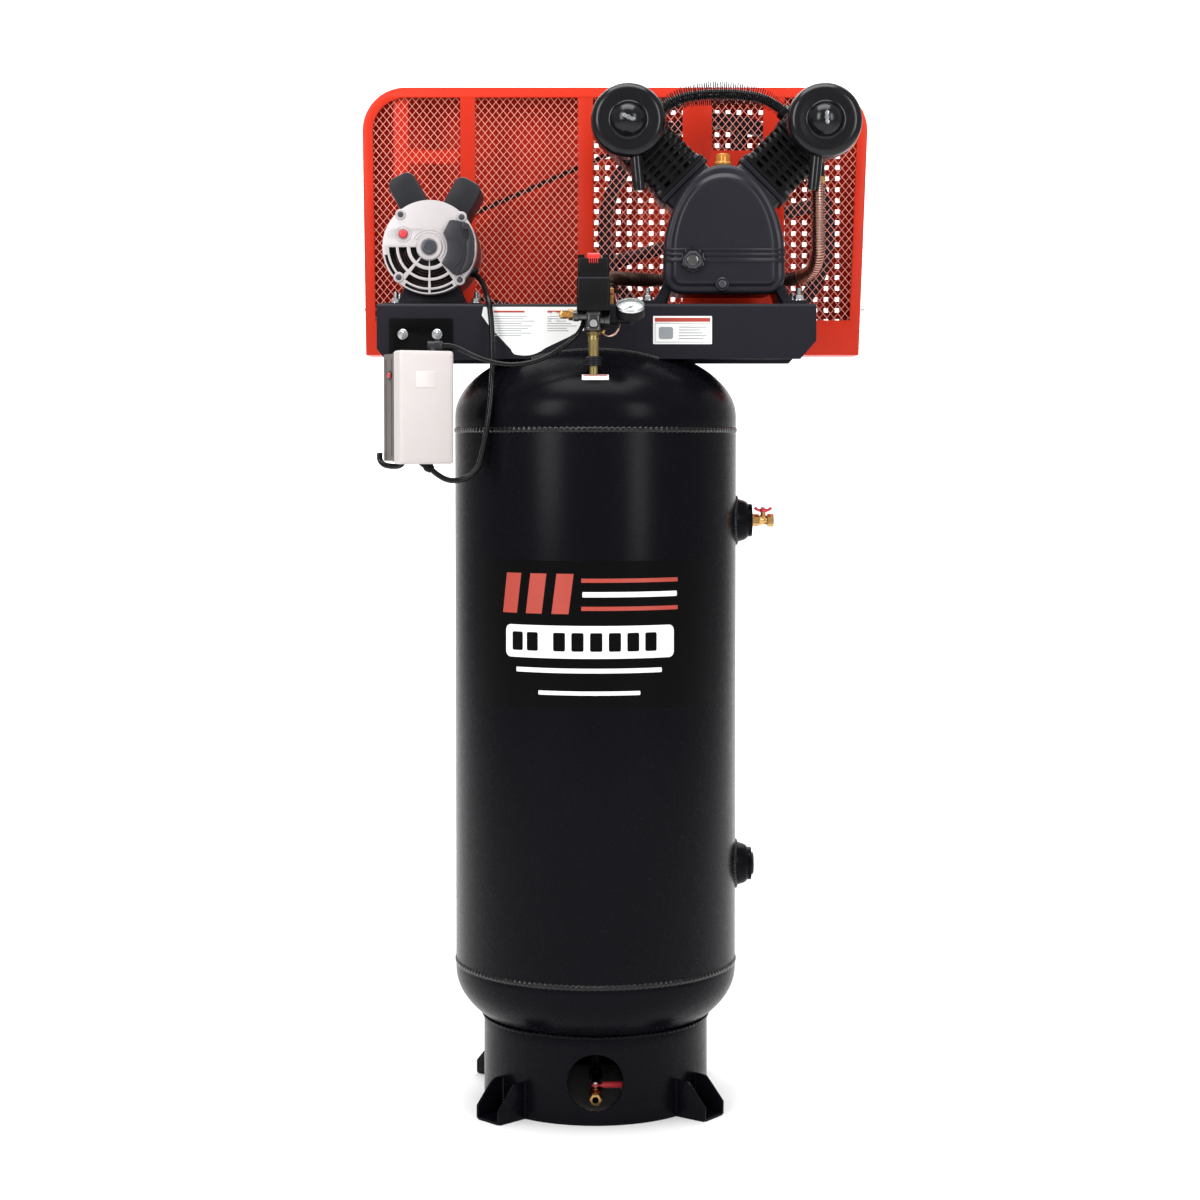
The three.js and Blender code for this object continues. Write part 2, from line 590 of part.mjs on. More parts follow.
function crankshaft() {
  const { journal, throw: offset } = CRANK;
  const web = (y0, y1) => join(
    rodY(30, y0, y1, 0, 0, 18), rodY(20, y0, y1, 0, offset, 14), box(-26, 26, y0, y1, -42, -6));
  const shaft = join(
    rodY(journal, -72, -44, 0, 0, 16), web(-46, -32), rodY(12, -34, 16, 0, offset, 14), web(14, 28),
    rodY(journal, 26, 226, 0, 0, 32));
  return finish("crankshaft", shaft.translate(0, 0, CRANK.z), STEEL);
}

// ---------- drive ----------
function grooveBottom(beltOuter) {
  return beltOuter - BELT.thickness - BELT.clearance;
}

function flywheel() {
  const { outer, beltOuter, inner, halfWidth, hub } = FLYWHEEL;
  const { spokes, spokeWidth, spokeHalfDepth, firstSpoke } = FLYWHEEL;
  const bottom = grooveBottom(beltOuter);
  const y = PULLEY.y;
  const groove = BELT.grooveHalf;
  const rim = latheY([
    [inner, y - halfWidth], [outer, y - halfWidth], [outer, y - groove],
    [bottom, y - groove], [bottom, y + groove],
    [outer, y + groove], [outer, y + halfWidth], [inner, y + halfWidth], [inner, y - halfWidth],
  ], 40);
  const arms = Array.from({ length: spokes }, (_, i) => {
    const arm = box(0, inner + 4, y - spokeHalfDepth, y + spokeHalfDepth, -spokeWidth / 2, spokeWidth / 2);
    return arm.rotateY(-rad(firstSpoke + (360 / spokes) * i));
  });
  const wheel = join(rim, rodY(hub, y - halfWidth, y + halfWidth, 0, 0, 24), ...arms);
  const bore = rodY(CRANK.journal + GAP, y - 40, y + 40, 0, 0, 32);
  return finish("flywheel", cut(wheel, bore).translate(0, 0, CRANK.z), BLACK_PAINT);
}

function motorPulley() {
  const { y, outer, beltOuter, halfWidth } = PULLEY;
  const bottom = grooveBottom(beltOuter);
  const groove = BELT.grooveHalf;
  const bore = MOTOR_SHAFT + GAP;
  const profile = [
    [bore, y - halfWidth], [outer, y - halfWidth], [outer, y - groove],
    [bottom, y - groove], [bottom, y + groove],
    [outer, y + groove], [outer, y + halfWidth], [bore, y + halfWidth], [bore, y - halfWidth],
  ];
  return finish("motor_pulley", latheY(profile, 24).translate(MOTOR.x, 0, MOTOR.z), STEEL);
}

// Open-belt outline around a small wheel at the origin and a large one at [dx, dz].
function beltOutline(Kind, small, large, dx, dz) {
  const distance = Math.hypot(dx, dz);
  const heading = Math.atan2(dz, dx);
  const spread = Math.acos((small - large) / distance);
  const upper = heading + spread;
  const lower = heading - spread;
  const outline = new Kind();
  outline.moveTo(small * Math.cos(upper), small * Math.sin(upper));
  outline.absarc(0, 0, small, upper, lower + 2 * Math.PI, false);
  outline.absarc(dx, dz, large, lower, upper, false);
  outline.lineTo(small * Math.cos(upper), small * Math.sin(upper));
  return outline;
}

function driveBelt() {
  const dx = CRANK.x - MOTOR.x;
  const dz = CRANK.z - MOTOR.z;
  const outline = beltOutline(THREE.Shape, PULLEY.beltOuter, FLYWHEEL.beltOuter, dx, dz);
  const inside = beltOutline(
    THREE.Path, PULLEY.beltOuter - BELT.thickness, FLYWHEEL.beltOuter - BELT.thickness, dx, dz);
  outline.holes.push(inside);
  const loop = slabY(outline, PULLEY.y - BELT.halfWidth, PULLEY.y + BELT.halfWidth, 16);
  return finish("drive_belt", loop.translate(MOTOR.x, 0, MOTOR.z), BLACK_RUBBER);
}

// ---------- belt guard ----------
function guardOutline(inset = 0) {
  const { left, right, taperLeft, taperRight, bottom, top, corner } = GUARD;
  const radius = corner - inset;
  const shape = new THREE.Shape();
  shape.moveTo(left + taperLeft + inset, bottom + inset);
  shape.lineTo(right - taperRight - inset, bottom + inset);
  shape.lineTo(right - inset, top - inset - radius);
  shape.absarc(right - inset - radius, top - inset - radius, radius, 0, Math.PI / 2);
  shape.lineTo(left + inset + radius, top - inset);
  shape.absarc(left + inset + radius, top - inset - radius, radius, Math.PI / 2, Math.PI);
  return shape;
}

function guardFrontFrame() {
  const { front, seam, sheet } = GUARD_DEPTH;
  const block = slabY(guardOutline(), front, seam - GAP, 6);
  const hollow = slabY(guardOutline(sheet), front + sheet, seam + 5, 6);
  const inner = slabY(guardOutline(GUARD_BORDER), front - 5, front + sheet + 5, 6);
  const reach = [front - 6, front + sheet + 6];
  const { windowLeft, windowRight, windowSill } = PUMP_PANEL;
  const windowTop = GUARD.top - GUARD_BORDER;
  const keep = join(
    box(GUARD.left, GUARD.right, ...reach, GUARD.bottom, GUARD_SILL),
    ...STRUTS.map(([x0, x1]) => box(x0, x1, ...reach, GUARD.bottom, GUARD.top)),
    cut(
      box(PUMP_PANEL.left, PUMP_PANEL.right, ...reach, GUARD.bottom + 1, GUARD.top + 1),
      box(windowLeft, windowRight, front - 10, front + sheet + 10, windowSill, windowTop),
    ),
  );
  const windows = cut(inner, keep);
  const crankHole = rodY(GUARD_HOLE.crank, front - 5, front + sheet + 5, CRANK.x, CRANK.z, 24);
  return finish("guard_front_frame", cut(block, hollow, windows, crankHole), RED_PAINT);
}

function guardMesh() {
  const start = GUARD_DEPTH.front + GUARD_DEPTH.sheet + GAP;
  const sheet = slabY(guardOutline(GUARD_DEPTH.sheet + 1), start, start + 2, 6);
  const shaftHole = rodY(GUARD_HOLE.motor, start - 5, start + 7, MOTOR.x, MOTOR.z, 24);
  const crankHole = rodY(GUARD_HOLE.crank, start - 5, start + 7, CRANK.x, CRANK.z, 24);
  return finish("guard_mesh", cut(sheet, shaftHole, crankHole), RED_PAINT);
}

function guardBack() {
  const { seam, rear, sheet } = GUARD_DEPTH;
  const block = slabY(guardOutline(), seam, rear, 6);
  const hollow = slabY(guardOutline(sheet), seam - 5, rear - sheet, 6);
  return finish("guard_back", cut(block, hollow), RED_PAINT);
}

// ---------- pressure switch group ----------
function pressureSwitch() {
  const { x, y, half, depth, corner, bottom, parting, top, lidInset, hornHeight, hornInset } = SWITCH;
  const outline = (inset) => roundedRectangle(
    x - half + inset, x + half - inset, y - depth + inset, y + depth - inset, corner);
  const hornEnds = [y - depth + 2 * hornInset, y + depth - 2 * hornInset, top - 2, top + hornHeight];
  const wellHalf = KNOB.half + 0.5;
  const body = join(
    slabZ(outline(0), bottom, parting),
    slabZ(outline(lidInset), parting - 2, top),
    box(x - half + hornInset, x - KNOB.half - 1, ...hornEnds),
    box(x + KNOB.half + 1, x + half - hornInset, ...hornEnds),
    rodZ(6, bottom - 28, bottom + 2, x + 16, y + 16.5, 12),
  );
  const wellBack = y + KNOB.depth + 0.5;
  const well = box(x - wellHalf, x + wellHalf, y - depth - 2, wellBack, KNOB.bottom - GAP, top + 10);
  const knob = box(x - KNOB.half, x + KNOB.half, y - depth + 2, y + KNOB.depth, KNOB.bottom, KNOB.top);
  return [
    finish("pressure_switch", cut(body, well), BLACK_PLASTIC),
    finish("switch_knob", knob, RED_PLASTIC),
  ];
}

function pressureManifold() {
  const { z, radius, bottom, arm } = MANIFOLD;
  const { x, y } = SWITCH;
  const block = join(
    rodZ(radius, bottom, SWITCH.bottom - GAP, x, y, 8),
    rodX(arm, SAFETY.start + GAP, x, y, z, 12),
    rodX(arm, x, x + 28, y, z, 12),
  );
  return finish("pressure_manifold", block, STEEL);
}

function riser() {
  const { x, y } = SWITCH;
  const { top, collarTop, collarBottom, collar, pipe, foot } = RISER;
  const column = join(
    rodZ(pipe, collarTop - 5, top, x, y, 20),
    rodZ(collar, collarBottom, collarTop, x, y, 20),
    rodZ(foot, collarBottom - 40, collarBottom + 5, x, y, 20),
  );
  return finish("riser_nipple", cut(column, domeCutter(GAP)), BRASS);
}

function gauge() {
  const { x, tilt, radius, depth, pipe, backZ, recess } = GAUGE;
  const y = SWITCH.y;
  const start = SWITCH.x + 28 + GAP;
  const cup = latheY([
    [0, 0], [radius - 2, 0], [radius, 2], [radius, depth], [radius - 2.5, depth],
    [radius - 2.5, depth - recess], [0, depth - recess],
  ], 28);
  const lean = rad(90 - tilt);
  const tip = (geometry) => geometry.rotateX(Math.PI / 2 + lean).translate(x, y, backZ);
  const stem = new THREE.CylinderGeometry(pipe, pipe, 18, 12).translate(0, -6, 0);
  const body = join(tip(cup), tip(stem), rodX(pipe, start, x + 4, y, MANIFOLD.z, 12));
  const needle = join(
    new THREE.CylinderGeometry(2.5, 2.5, 2, 12).translate(0, depth - recess + 2, 0),
    box(-0.8, 0.8, depth - recess + 1.2, depth - recess + 2.6, 0, 17),
  ).rotateY(-rad(GAUGE.zeroAngle));
  return [finish("pressure_gauge", body, WHITE_ENAMEL), finish("gauge_needle", tip(needle), BLACK_PLASTIC)];
}

function safetyValve() {
  const { start, end, radius, z } = SAFETY;
  const y = SWITCH.y;
  const body = join(
    rodX(radius, start - 12, start, y, z, 6),
    rodX(radius - 3, end, start - 10, y, z, 16),
  );
  const ring = new THREE.TorusGeometry(7, 1, 8, 20).translate(end - GAP - 8.3, y, z);
  return [finish("safety_valve", body, BRASS), finish("safety_pull_ring", ring, STEEL)];
}

function unloaderTube() {
  return finish("unloader_tube", tube(UNLOADER_ROUTE, 2.2, 8, 30), COPPER);
}

function checkValve() {
  const valve = join(
    rodZ(13, TANK.tangentHigh + 100, 1440, 25, 20, 16),
    rodZ(15, 1438, 1458, 25, 20, 6),
  );
  return finish("check_valve", cut(valve, domeCutter(GAP), box(0, 60, -20, 6.9, 1436, 1462)), BRASS);
}

function dischargeTube() {
  return finish("discharge_tube", tube(DISCHARGE_ROUTE, 12, 8, 36), COPPER);
}

function intercoolerTube() {
  return finish("intercooler_tube", tube(INTERCOOLER_ROUTE, 12, 10, 14), BLACK_PAINT);
}

// ---------- starter box ----------
// Turns a point or heading of the machine's frame into the starter box's own turned frame.
function toBox([x, y, z], isHeading = false) {
  const point = new THREE.Vector3(x, y, z);
  if (!isHeading) point.sub(new THREE.Vector3(BOX.x, BOX.y, 0));
  return point.applyAxisAngle(new THREE.Vector3(0, 0, 1), -rad(BOX.yaw)).toArray();
}

function starterPieces() {
  const { width, depth, bottom, top, coverDepth, corner, lip, baseInset } = BOX;
  const half = width / 2;
  const back = depth / 2;
  const seam = -back + coverDepth;
  const lowerSeat = toBox(LOWER_GLAND.tip);
  const lowerHeading = toBox(LOWER_GLAND.heading, true);
  const upperSeat = toBox(UPPER_GLAND.tip);
  const upperHeading = toBox(UPPER_GLAND.heading, true);
  const base = join(
    slabZ(rectangle(-half + lip, half - lip, seam + GAP, back), bottom + baseInset, top - baseInset),
    rodAlong(LOWER_GLAND.radius, lowerSeat, lowerHeading, -GLAND_LENGTH, 0, 14),
    tube(LEAD_BOOT.route, LEAD_BOOT.radius, 8, 12),
  );
  const cover = join(
    slabZ(roundedRectangle(-half, half, -back, seam, corner), bottom, top),
    rodAlong(UPPER_GLAND.radius, upperSeat, upperHeading, -GLAND_LENGTH, 0, 8),
    rodZ(UPPER_GLAND.radius - 1, top - 3, UPPER_GLAND.tip[2], upperSeat[0] - 17, upperSeat[1] + 8, 12),
  );
  const bore = rodX(BUTTON.radius + 0.5, -half - 5, -half + 12, 10, BUTTON.z, 16);
  const button = rodX(BUTTON.radius, -half - 1, -half + 5, 10, BUTTON.z, 16);
  const pieces = [
    finish("starter_box_base", cut(base, bore), BEIGE_PLASTIC),
    finish("starter_box_cover", cover, BEIGE_PLASTIC),
    finish("starter_button", button, RED_PLASTIC),
  ];
  const group = new THREE.Group();
  group.position.set(BOX.x, BOX.y, 0);
  group.rotation.z = rad(BOX.yaw);
  group.add(...pieces);
  return group;
}

function starterBracket() {
  const { left, right, top, bottom, sheet } = BRACKET;
  const face = -DECK.half - GAP;
  return finish("starter_bracket", box(left, right, face - sheet, face, bottom, top), BLACK_PAINT);
}

// ---------- cables ----------
function cable(name, route, { radius, sides, steps }) {
  return finish(name, tube(route, radius, sides, steps), BLACK_RUBBER);
}

// ---------- assembly ----------
const compressor = new THREE.Group();
compressor.position.x = GROUP_OFFSET_X;

compressor.add(tankShell(), baseRing());
Object.entries(FOOT_ANGLES).forEach(([place, angle]) => compressor.add(foot(`foot_${place}`, angle)));
compressor.add(portBoss("port_boss_upper", PORT.upperZ), portBoss("port_boss_lower", PORT.lowerZ));
compressor.add(...outletValve(), lowerPlug(), ...drainValve());
compressor.add(platform());
compressor.add(...motorPieces());
Object.entries(EARS).forEach(([place, ear]) => {
  compressor.add(capacitorCover(`capacitor_cover_${place}`, ear));
});
compressor.add(motorPulley(), driveBelt());

const pump = new THREE.Group();
pump.position.x = CRANK.x;
pump.add(crankcase(), crankcaseCover(), sightGlass(), fillerCap(), crankshaft(), flywheel());
[["left", -1], ["right", 1]].forEach(([place, side]) => {
  pump.add(barrel(`cylinder_${place}`, side), head(`head_${place}`, side), piston(`piston_${place}`, side));
  pump.add(airFilter(`air_filter_${place}`, side));
});
compressor.add(pump);

compressor.add(intercoolerTube(), dischargeTube(), checkValve(), unloaderTube());
compressor.add(guardFrontFrame(), guardMesh(), guardBack());
compressor.add(...pressureSwitch(), pressureManifold(), riser(), ...gauge(), ...safetyValve());
compressor.add(starterPieces(), starterBracket());
compressor.add(cable("switch_cable", SWITCH_CABLE_ROUTE, SWITCH_CABLE));
compressor.add(cable("motor_cable", MOTOR_CABLE_ROUTE, MOTOR_CABLE));

export default compressor;
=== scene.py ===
"""A V-twin air compressor on a vertical receiver tank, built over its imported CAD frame.

Shapes are drawn in millimetres from the tank's axis at floor level, with -Y in front and Z up.
build() turns each of them into the frame's metres and makes it a piece of the object.
"""

import math
import random

import bmesh
import bpy
from mathutils import Matrix, Vector, noise


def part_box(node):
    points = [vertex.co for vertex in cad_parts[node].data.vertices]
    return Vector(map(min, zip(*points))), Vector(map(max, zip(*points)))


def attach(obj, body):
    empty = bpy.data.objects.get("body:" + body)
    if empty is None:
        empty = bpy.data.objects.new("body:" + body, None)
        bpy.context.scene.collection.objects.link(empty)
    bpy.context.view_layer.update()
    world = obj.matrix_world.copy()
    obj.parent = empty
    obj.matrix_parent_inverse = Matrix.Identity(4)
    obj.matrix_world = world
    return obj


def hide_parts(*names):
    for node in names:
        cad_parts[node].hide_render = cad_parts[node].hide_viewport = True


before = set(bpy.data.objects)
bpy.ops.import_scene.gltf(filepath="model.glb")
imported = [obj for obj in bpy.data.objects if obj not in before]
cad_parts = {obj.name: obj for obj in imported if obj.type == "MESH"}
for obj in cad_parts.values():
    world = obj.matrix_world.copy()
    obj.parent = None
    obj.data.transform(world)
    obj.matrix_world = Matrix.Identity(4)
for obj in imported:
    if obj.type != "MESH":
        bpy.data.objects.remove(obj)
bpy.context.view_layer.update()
dice = random.Random(7)

MM = 0.001
tank_low, tank_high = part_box("tank_shell")
ORIGIN = Vector(((tank_low.x + tank_high.x) / 2, (tank_low.y + tank_high.y) / 2, 0.0))
TO_FRAME = Matrix.Translation(ORIGIN) @ Matrix.Scale(MM, 4)


def span(node):
    """A CAD node's lowest and highest corners, in millimetres from the tank's axis."""
    low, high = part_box(node)
    return (low - ORIGIN) / MM, (high - ORIGIN) / MM


def middle(node):
    low, high = span(node)
    return (low + high) / 2


# ---------- drawing in millimetres ----------
def aim(origin, axis):
    """The matrix that puts +Z along axis at origin."""
    turn = Vector((0, 0, 1)).rotation_difference(Vector(axis))
    return Matrix.Translation(Vector(origin)) @ turn.to_matrix().to_4x4()


def arc(x, z, radius, start, end, steps):
    """Points on an arc about (x, z), with its angles in degrees."""
    turns = [math.radians(start + (end - start) * i / steps) for i in range(steps + 1)]
    return [(x + radius * math.cos(t), z + radius * math.sin(t)) for t in turns]


def circle(x, z, radius, steps=40):
    return arc(x, z, radius, 0, 360, steps)[:-1]


def rectangle(x0, x1, z0, z1):
    return [(x0, z0), (x1, z0), (x1, z1), (x0, z1)]


def rounded(x0, x1, z0, z1, radius, steps=6):
    """A rectangle with round corners."""
    low, high = x0 + radius, x1 - radius
    points = arc(high, z0 + radius, radius, -90, 0, steps) + arc(high, z1 - radius, radius, 0, 90, steps)
    points += arc(low, z1 - radius, radius, 90, 180, steps)
    return points + arc(low, z0 + radius, radius, 180, 270, steps)


def ring_sector(x, z, inner, outer, start, end, steps=14):
    return arc(x, z, outer, start, end, steps) + arc(x, z, inner, end, start, steps)


def smooth_path(points, per_span=8):
    """A Catmull-Rom curve through the points."""
    knots = [Vector(p) for p in points]
    knots = [2 * knots[0] - knots[1], *knots, 2 * knots[-1] - knots[-2]]
    path = []
    for a, b, c, d in zip(knots, knots[1:], knots[2:], knots[3:]):
        for i in range(per_span):
            t = i / per_span
            path.append(0.5 * (2 * b + (c - a) * t + (2 * a - 5 * b + 4 * c - d) * t ** 2
                               + (3 * b - a - 3 * c + d) * t ** 3))
    return path + [knots[-2]]


def spaced(path, pitch):
    """Points every pitch along a path, each with the path's direction there."""
    marks, travelled, goal = [], 0.0, 0.0
    for start, end in zip(path, path[1:]):
        step = (end - start).length
        while goal <= travelled + step:
            marks.append((start.lerp(end, (goal - travelled) / step), (end - start).normalized()))
            goal += pitch
        travelled += step
    return marks


def skin(bm, rings, closed_ring=True, close_ends=False, join_ends=False):
    """Adds faces between rings of vertices, which may be single points."""
    pairs = list(zip(rings, rings[1:])) + ([(rings[-1], rings[0])] if join_ends else [])
    for low, high in pairs:
        count = max(len(low), len(high))
        for i in range(count if closed_ring else count - 1):
            j = (i + 1) % count
            corners = [low[i % len(low)], low[j % len(low)], high[j % len(high)], high[i % len(high)]]
            corners = list(dict.fromkeys(corners))
            if len(corners) > 2:
                bm.faces.new(corners)
    if close_ends:
        bm.faces.new(rings[0][::-1])
        bm.faces.new(rings[-1])


def spin(bm, profile, origin=(0, 0, 0), axis=(0, 0, 1), sides=48, turn=0.0):
    """Adds what (radius, height) points sweep about an axis. A profile off the axis closes on itself."""
    place = aim(origin, axis)
    rings = []
    for radius, height in profile:
        if radius < 1e-6:
            rings.append([bm.verts.new(place @ Vector((0, 0, height)))])
            continue
        angles = [turn + 2 * math.pi * i / sides for i in range(sides)]
        rings.append([
            bm.verts.new(place @ Vector((radius * math.cos(a), radius * math.sin(a),
                                         height))) for a in angles])
    skin(bm, rings, join_ends=profile[0][0] > 1e-6)


def block(bm, low, high, place=None):
    """Adds a box between two corners, moved by place."""
    place = place or Matrix.Identity(4)
    xs, ys, zs = zip(low, high)
    v = [bm.verts.new(place @ Vector((x, y, z))) for z in zs for y in ys for x in xs]
    for corners in ((0, 2, 3, 1), (4, 5, 7, 6), (0, 1, 5, 4), (2, 6, 7, 3), (0, 4, 6, 2), (1, 3, 7, 5)):
        bm.faces.new([v[i] for i in corners])


def prism(bm, outline, y0, y1, place=None):
    """Adds an (x, z) outline pulled from y0 back to y1, moved by place."""
    place = place or Matrix.Identity(4)
    rings = [[bm.verts.new(place @ Vector((x, y, z))) for x, z in outline] for y in (y0, y1)]
    skin(bm, rings, close_ends=True)


def plate(bm, loops, y0, y1, edge=0.0, place=None):
    """Adds a flat plate with holes: the first (x, z) loop is its outline, the rest are its holes."""
    curve = bpy.data.curves.new("plate", "CURVE")
    curve.dimensions = "2D"
    curve.fill_mode = "BOTH"
    curve.extrude = (y1 - y0) / 2 - edge
    curve.bevel_depth = edge
    curve.bevel_resolution = 1
    curve.offset = -edge
    for loop in loops:
        line = curve.splines.new("POLY")
        line.points.add(len(loop) - 1)
        for point, (x, z) in zip(line.points, loop):
            point.co = (x, z, 0, 1)
        line.use_cyclic_u = True
    holder = bpy.data.objects.new("plate", curve)
    bpy.context.collection.objects.link(holder)
    bpy.context.view_layer.update()
    mesh = bpy.data.meshes.new_from_object(holder.evaluated_get(bpy.context.evaluated_depsgraph_get()))
    mesh.transform((place or Matrix.Identity(4)) @ Matrix.Translation((0, (y0 + y1) / 2, 0))
                   @ Matrix.Rotation(math.pi / 2, 4, "X"))
    part = bmesh.new()
    part.from_mesh(mesh)
    bmesh.ops.remove_doubles(part, verts=part.verts, dist=1e-3)
    part.to_mesh(mesh)
    part.free()
    bm.from_mesh(mesh)
    bpy.data.objects.remove(holder)
    bpy.data.curves.remove(curve)
    bpy.data.meshes.remove(mesh)


def sweep(bm, path, radius, sides=16, capped=True):
    """Adds a tube along a path. radius is a number, or a function of the way along it, from 0 to 1."""
    normal = (path[1] - path[0]).orthogonal().normalized()
    rings = []
    for i, point in enumerate(path):
        heading = (path[min(i + 1, len(path) - 1)] - path[max(i - 1, 0)]).normalized()
        normal = (normal - heading * normal.dot(heading)).normalized()
        other = heading.cross(normal)
        size = radius(i / (len(path) - 1)) if callable(radius) else radius
        rings.append([
            bm.verts.new(point + size * (normal * math.cos(a) + other * math.sin(a)))
            for a in (2 * math.pi * k / sides for k in range(sides))])
    skin(bm, rings, close_ends=capped)


def weld_bead(bm, path, width, height, side, closed=False, ripple=3.5):
    """Adds a rippled bead along a path. side(point) is the way out of the surface that it lies on."""
    rings = []
    count = len(path)
    for i, point in enumerate(path):
        ahead = path[(i + 1) % count] if closed else path[min(i + 1, count - 1)]
        behind = path[i - 1] if closed or i else path[0]
        across = (ahead - behind).normalized().cross(side(point))
        swell = 1 + 0.16 * math.cos(math.pi * (i % ripple) / ripple * 2) + 0.1 * noise.noise(point * 0.11)
        bow = [(-1, -0.4), (-0.8, 0.45), (0, 1), (0.8, 0.45), (1, -0.4)]
        rings.append([
            bm.verts.new(point + across * u * width / 2 * swell + side(point) * v * height * swell) for u,
            v in bow])
    skin(bm, rings, close_ends=not closed, join_ends=closed)


def hexagon(bm, origin, axis, across, height, turn=0.0):
    """Adds a nut or bolt head with chamfered corners."""
    size = across / math.sqrt(3)
    spin(bm, [(0, 0), (size, 0), (size, height - 0.12 * size), (size * 0.86, height), (0, height)],
         origin, axis, 6, turn)


def stud(bm, origin, axis, size, reach):
    """Adds a washer, a nut and the threaded end that stands out of it."""
    origin, axis = Vector(origin), Vector(axis).normalized()
    spin(bm, [(0, 0), (size * 1.1, 0), (size * 1.1, 1.4), (size * 1.0, 1.8), (0, 1.8)], origin, axis, 28)
    hexagon(bm, origin + axis * 1.8, axis, size * 1.75, size * 0.85)
    threads = [(0, 0)]
    for i in range(int(reach)):
        threads += [(size * 0.5, i), (size * 0.42, i + 0.5)]
    spin(bm, threads + [(size * 0.4, reach), (0, reach)], origin + axis * 1.8, axis, 20)


def wrap(bm, radius, lift=0.0, step=3.0):
    """Bends what was drawn flat in x and z round the tank: x becomes arc length, y stays outward depth."""
    reach = max(abs(v.co.x) for v in bm.verts)
    spacing = math.radians(step) * radius
    for i in range(-int(reach / spacing), int(reach / spacing) + 1):
        bmesh.ops.bisect_plane(bm, geom=bm.verts[:] + bm.edges[:] + bm.faces[:],
                               plane_co=(i * spacing, 0, 0), plane_no=(1, 0, 0))
    for v in bm.verts:
        angle = v.co.x / radius
        away = radius + lift - v.co.y
        v.co = Vector((away * math.sin(angle), -away * math.cos(angle), v.co.z))


def chop(bm, point, normal):
    """Cuts away what lies beyond a plane and closes the cut."""
    made = bmesh.ops.bisect_plane(bm, geom=bm.verts[:] + bm.edges[:] + bm.faces[:],
                                  plane_co=point, plane_no=normal, clear_outer=True)
    edges = [e for e in made["geom_cut"] if isinstance(e, bmesh.types.BMEdge)]
    bmesh.ops.holes_fill(bm, edges=edges, sides=0)


def build(name, bm, material, body="machine", stands_for=(), slot=None, crease=32, soften=0.0):
    """Makes the drawing a piece that rides on a body. soften rounds its edges by that many millimetres."""
    bm.transform(TO_FRAME)
    bmesh.ops.recalc_face_normals(bm, faces=bm.faces[:])
    mesh = bpy.data.meshes.new(name)
    bm.to_mesh(mesh)
    bm.free()
    for face in mesh.polygons:
        face.use_smooth = True
    mesh.materials.append(material)
    piece = bpy.data.objects.new(name, mesh)
    bpy.context.collection.objects.link(piece)
    if soften:
        rounding = piece.modifiers.new("soft_edges", "BEVEL")
        rounding.width = soften * MM
        rounding.segments = 2
        rounding.limit_method = "ANGLE"
        rounding.angle_limit = math.radians(35)
        rounding.harden_normals = True
    else:
        mesh.set_sharp_from_angle(angle=math.radians(crease))
    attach(piece, body)
    if stands_for:
        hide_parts(*stands_for)
    return piece


# ---------- materials ----------
def linear(code):
    """A scene-linear colour from a six-digit sRGB code."""
    parts = [int(code[i:i + 2], 16) / 255 for i in (0, 2, 4)]
    return [c / 12.92 if c <= 0.04045 else ((c + 0.055) / 1.055) ** 2.4 for c in parts] + [1.0]


def surface(name, code, rough, metal=0.0, mottle=0.12, mottle_scale=25.0, grain=0.1, grain_scale=800.0,
            spread=0.06, coat=0.0, dust=0.0, shine=0.5):
    """A paint, metal or plastic: patchy colour, uneven gloss, a grain in its surface and some dust on top."""
    material = bpy.data.materials.new(name)
    material.use_nodes = True
    nodes, links = material.node_tree.nodes, material.node_tree.links
    shader = nodes["Principled BSDF"]
    shader.inputs["Metallic"].default_value = metal
    shader.inputs["Specular IOR Level"].default_value = shine
    shader.inputs["Coat Weight"].default_value = coat
    shader.inputs["Coat Roughness"].default_value = 0.12
    place = nodes.new("ShaderNodeTexCoord")

    def cloud(scale, detail):
        texture = nodes.new("ShaderNodeTexNoise")
        texture.inputs["Scale"].default_value = scale
        texture.inputs["Detail"].default_value = detail
        links.new(place.outputs["Object"], texture.inputs["Vector"])
        return texture.outputs["Fac"]

    def mix(factor, first, second):
        mixer = nodes.new("ShaderNodeMix")
        mixer.data_type = "RGBA"
        for socket, value in ((mixer.inputs[0], factor), (mixer.inputs[6], first), (mixer.inputs[7], second)):
            if isinstance(value, bpy.types.NodeSocket):
                links.new(value, socket)
            else:
                socket.default_value = value
        return mixer.outputs[2]

    colour = linear(code)
    darker = [c * (1 - mottle) for c in colour[:3]] + [1.0]
    lighter = [min(1.0, c * (1 + mottle)) for c in colour[:3]] + [1.0]
    tone = mix(cloud(mottle_scale, 5), darker, lighter)
    if dust:
        facing = nodes.new("ShaderNodeNewGeometry")
        split = nodes.new("ShaderNodeSeparateXYZ")
        links.new(facing.outputs["Normal"], split.inputs[0])
        amount = nodes.new("ShaderNodeMath")
        amount.operation = "MULTIPLY"
        amount.use_clamp = True
        links.new(split.outputs["Z"], amount.inputs[0])
        amount.inputs[1].default_value = dust
        tone = mix(amount.outputs[0], tone, linear("8d8a86"))
    links.new(tone, shader.inputs["Base Color"])
    gloss = nodes.new("ShaderNodeMapRange")
    gloss.inputs["To Min"].default_value = max(0.02, rough - spread)
    gloss.inputs["To Max"].default_value = min(1.0, rough + spread)
    links.new(cloud(mottle_scale * 3, 4), gloss.inputs["Value"])
    links.new(gloss.outputs[0], shader.inputs["Roughness"])
    bump = nodes.new("ShaderNodeBump")
    bump.inputs["Strength"].default_value = grain
    bump.inputs["Distance"].default_value = 0.0006
    links.new(cloud(grain_scale, 3), bump.inputs["Height"])
    links.new(bump.outputs[0], shader.inputs["Normal"])
    return material


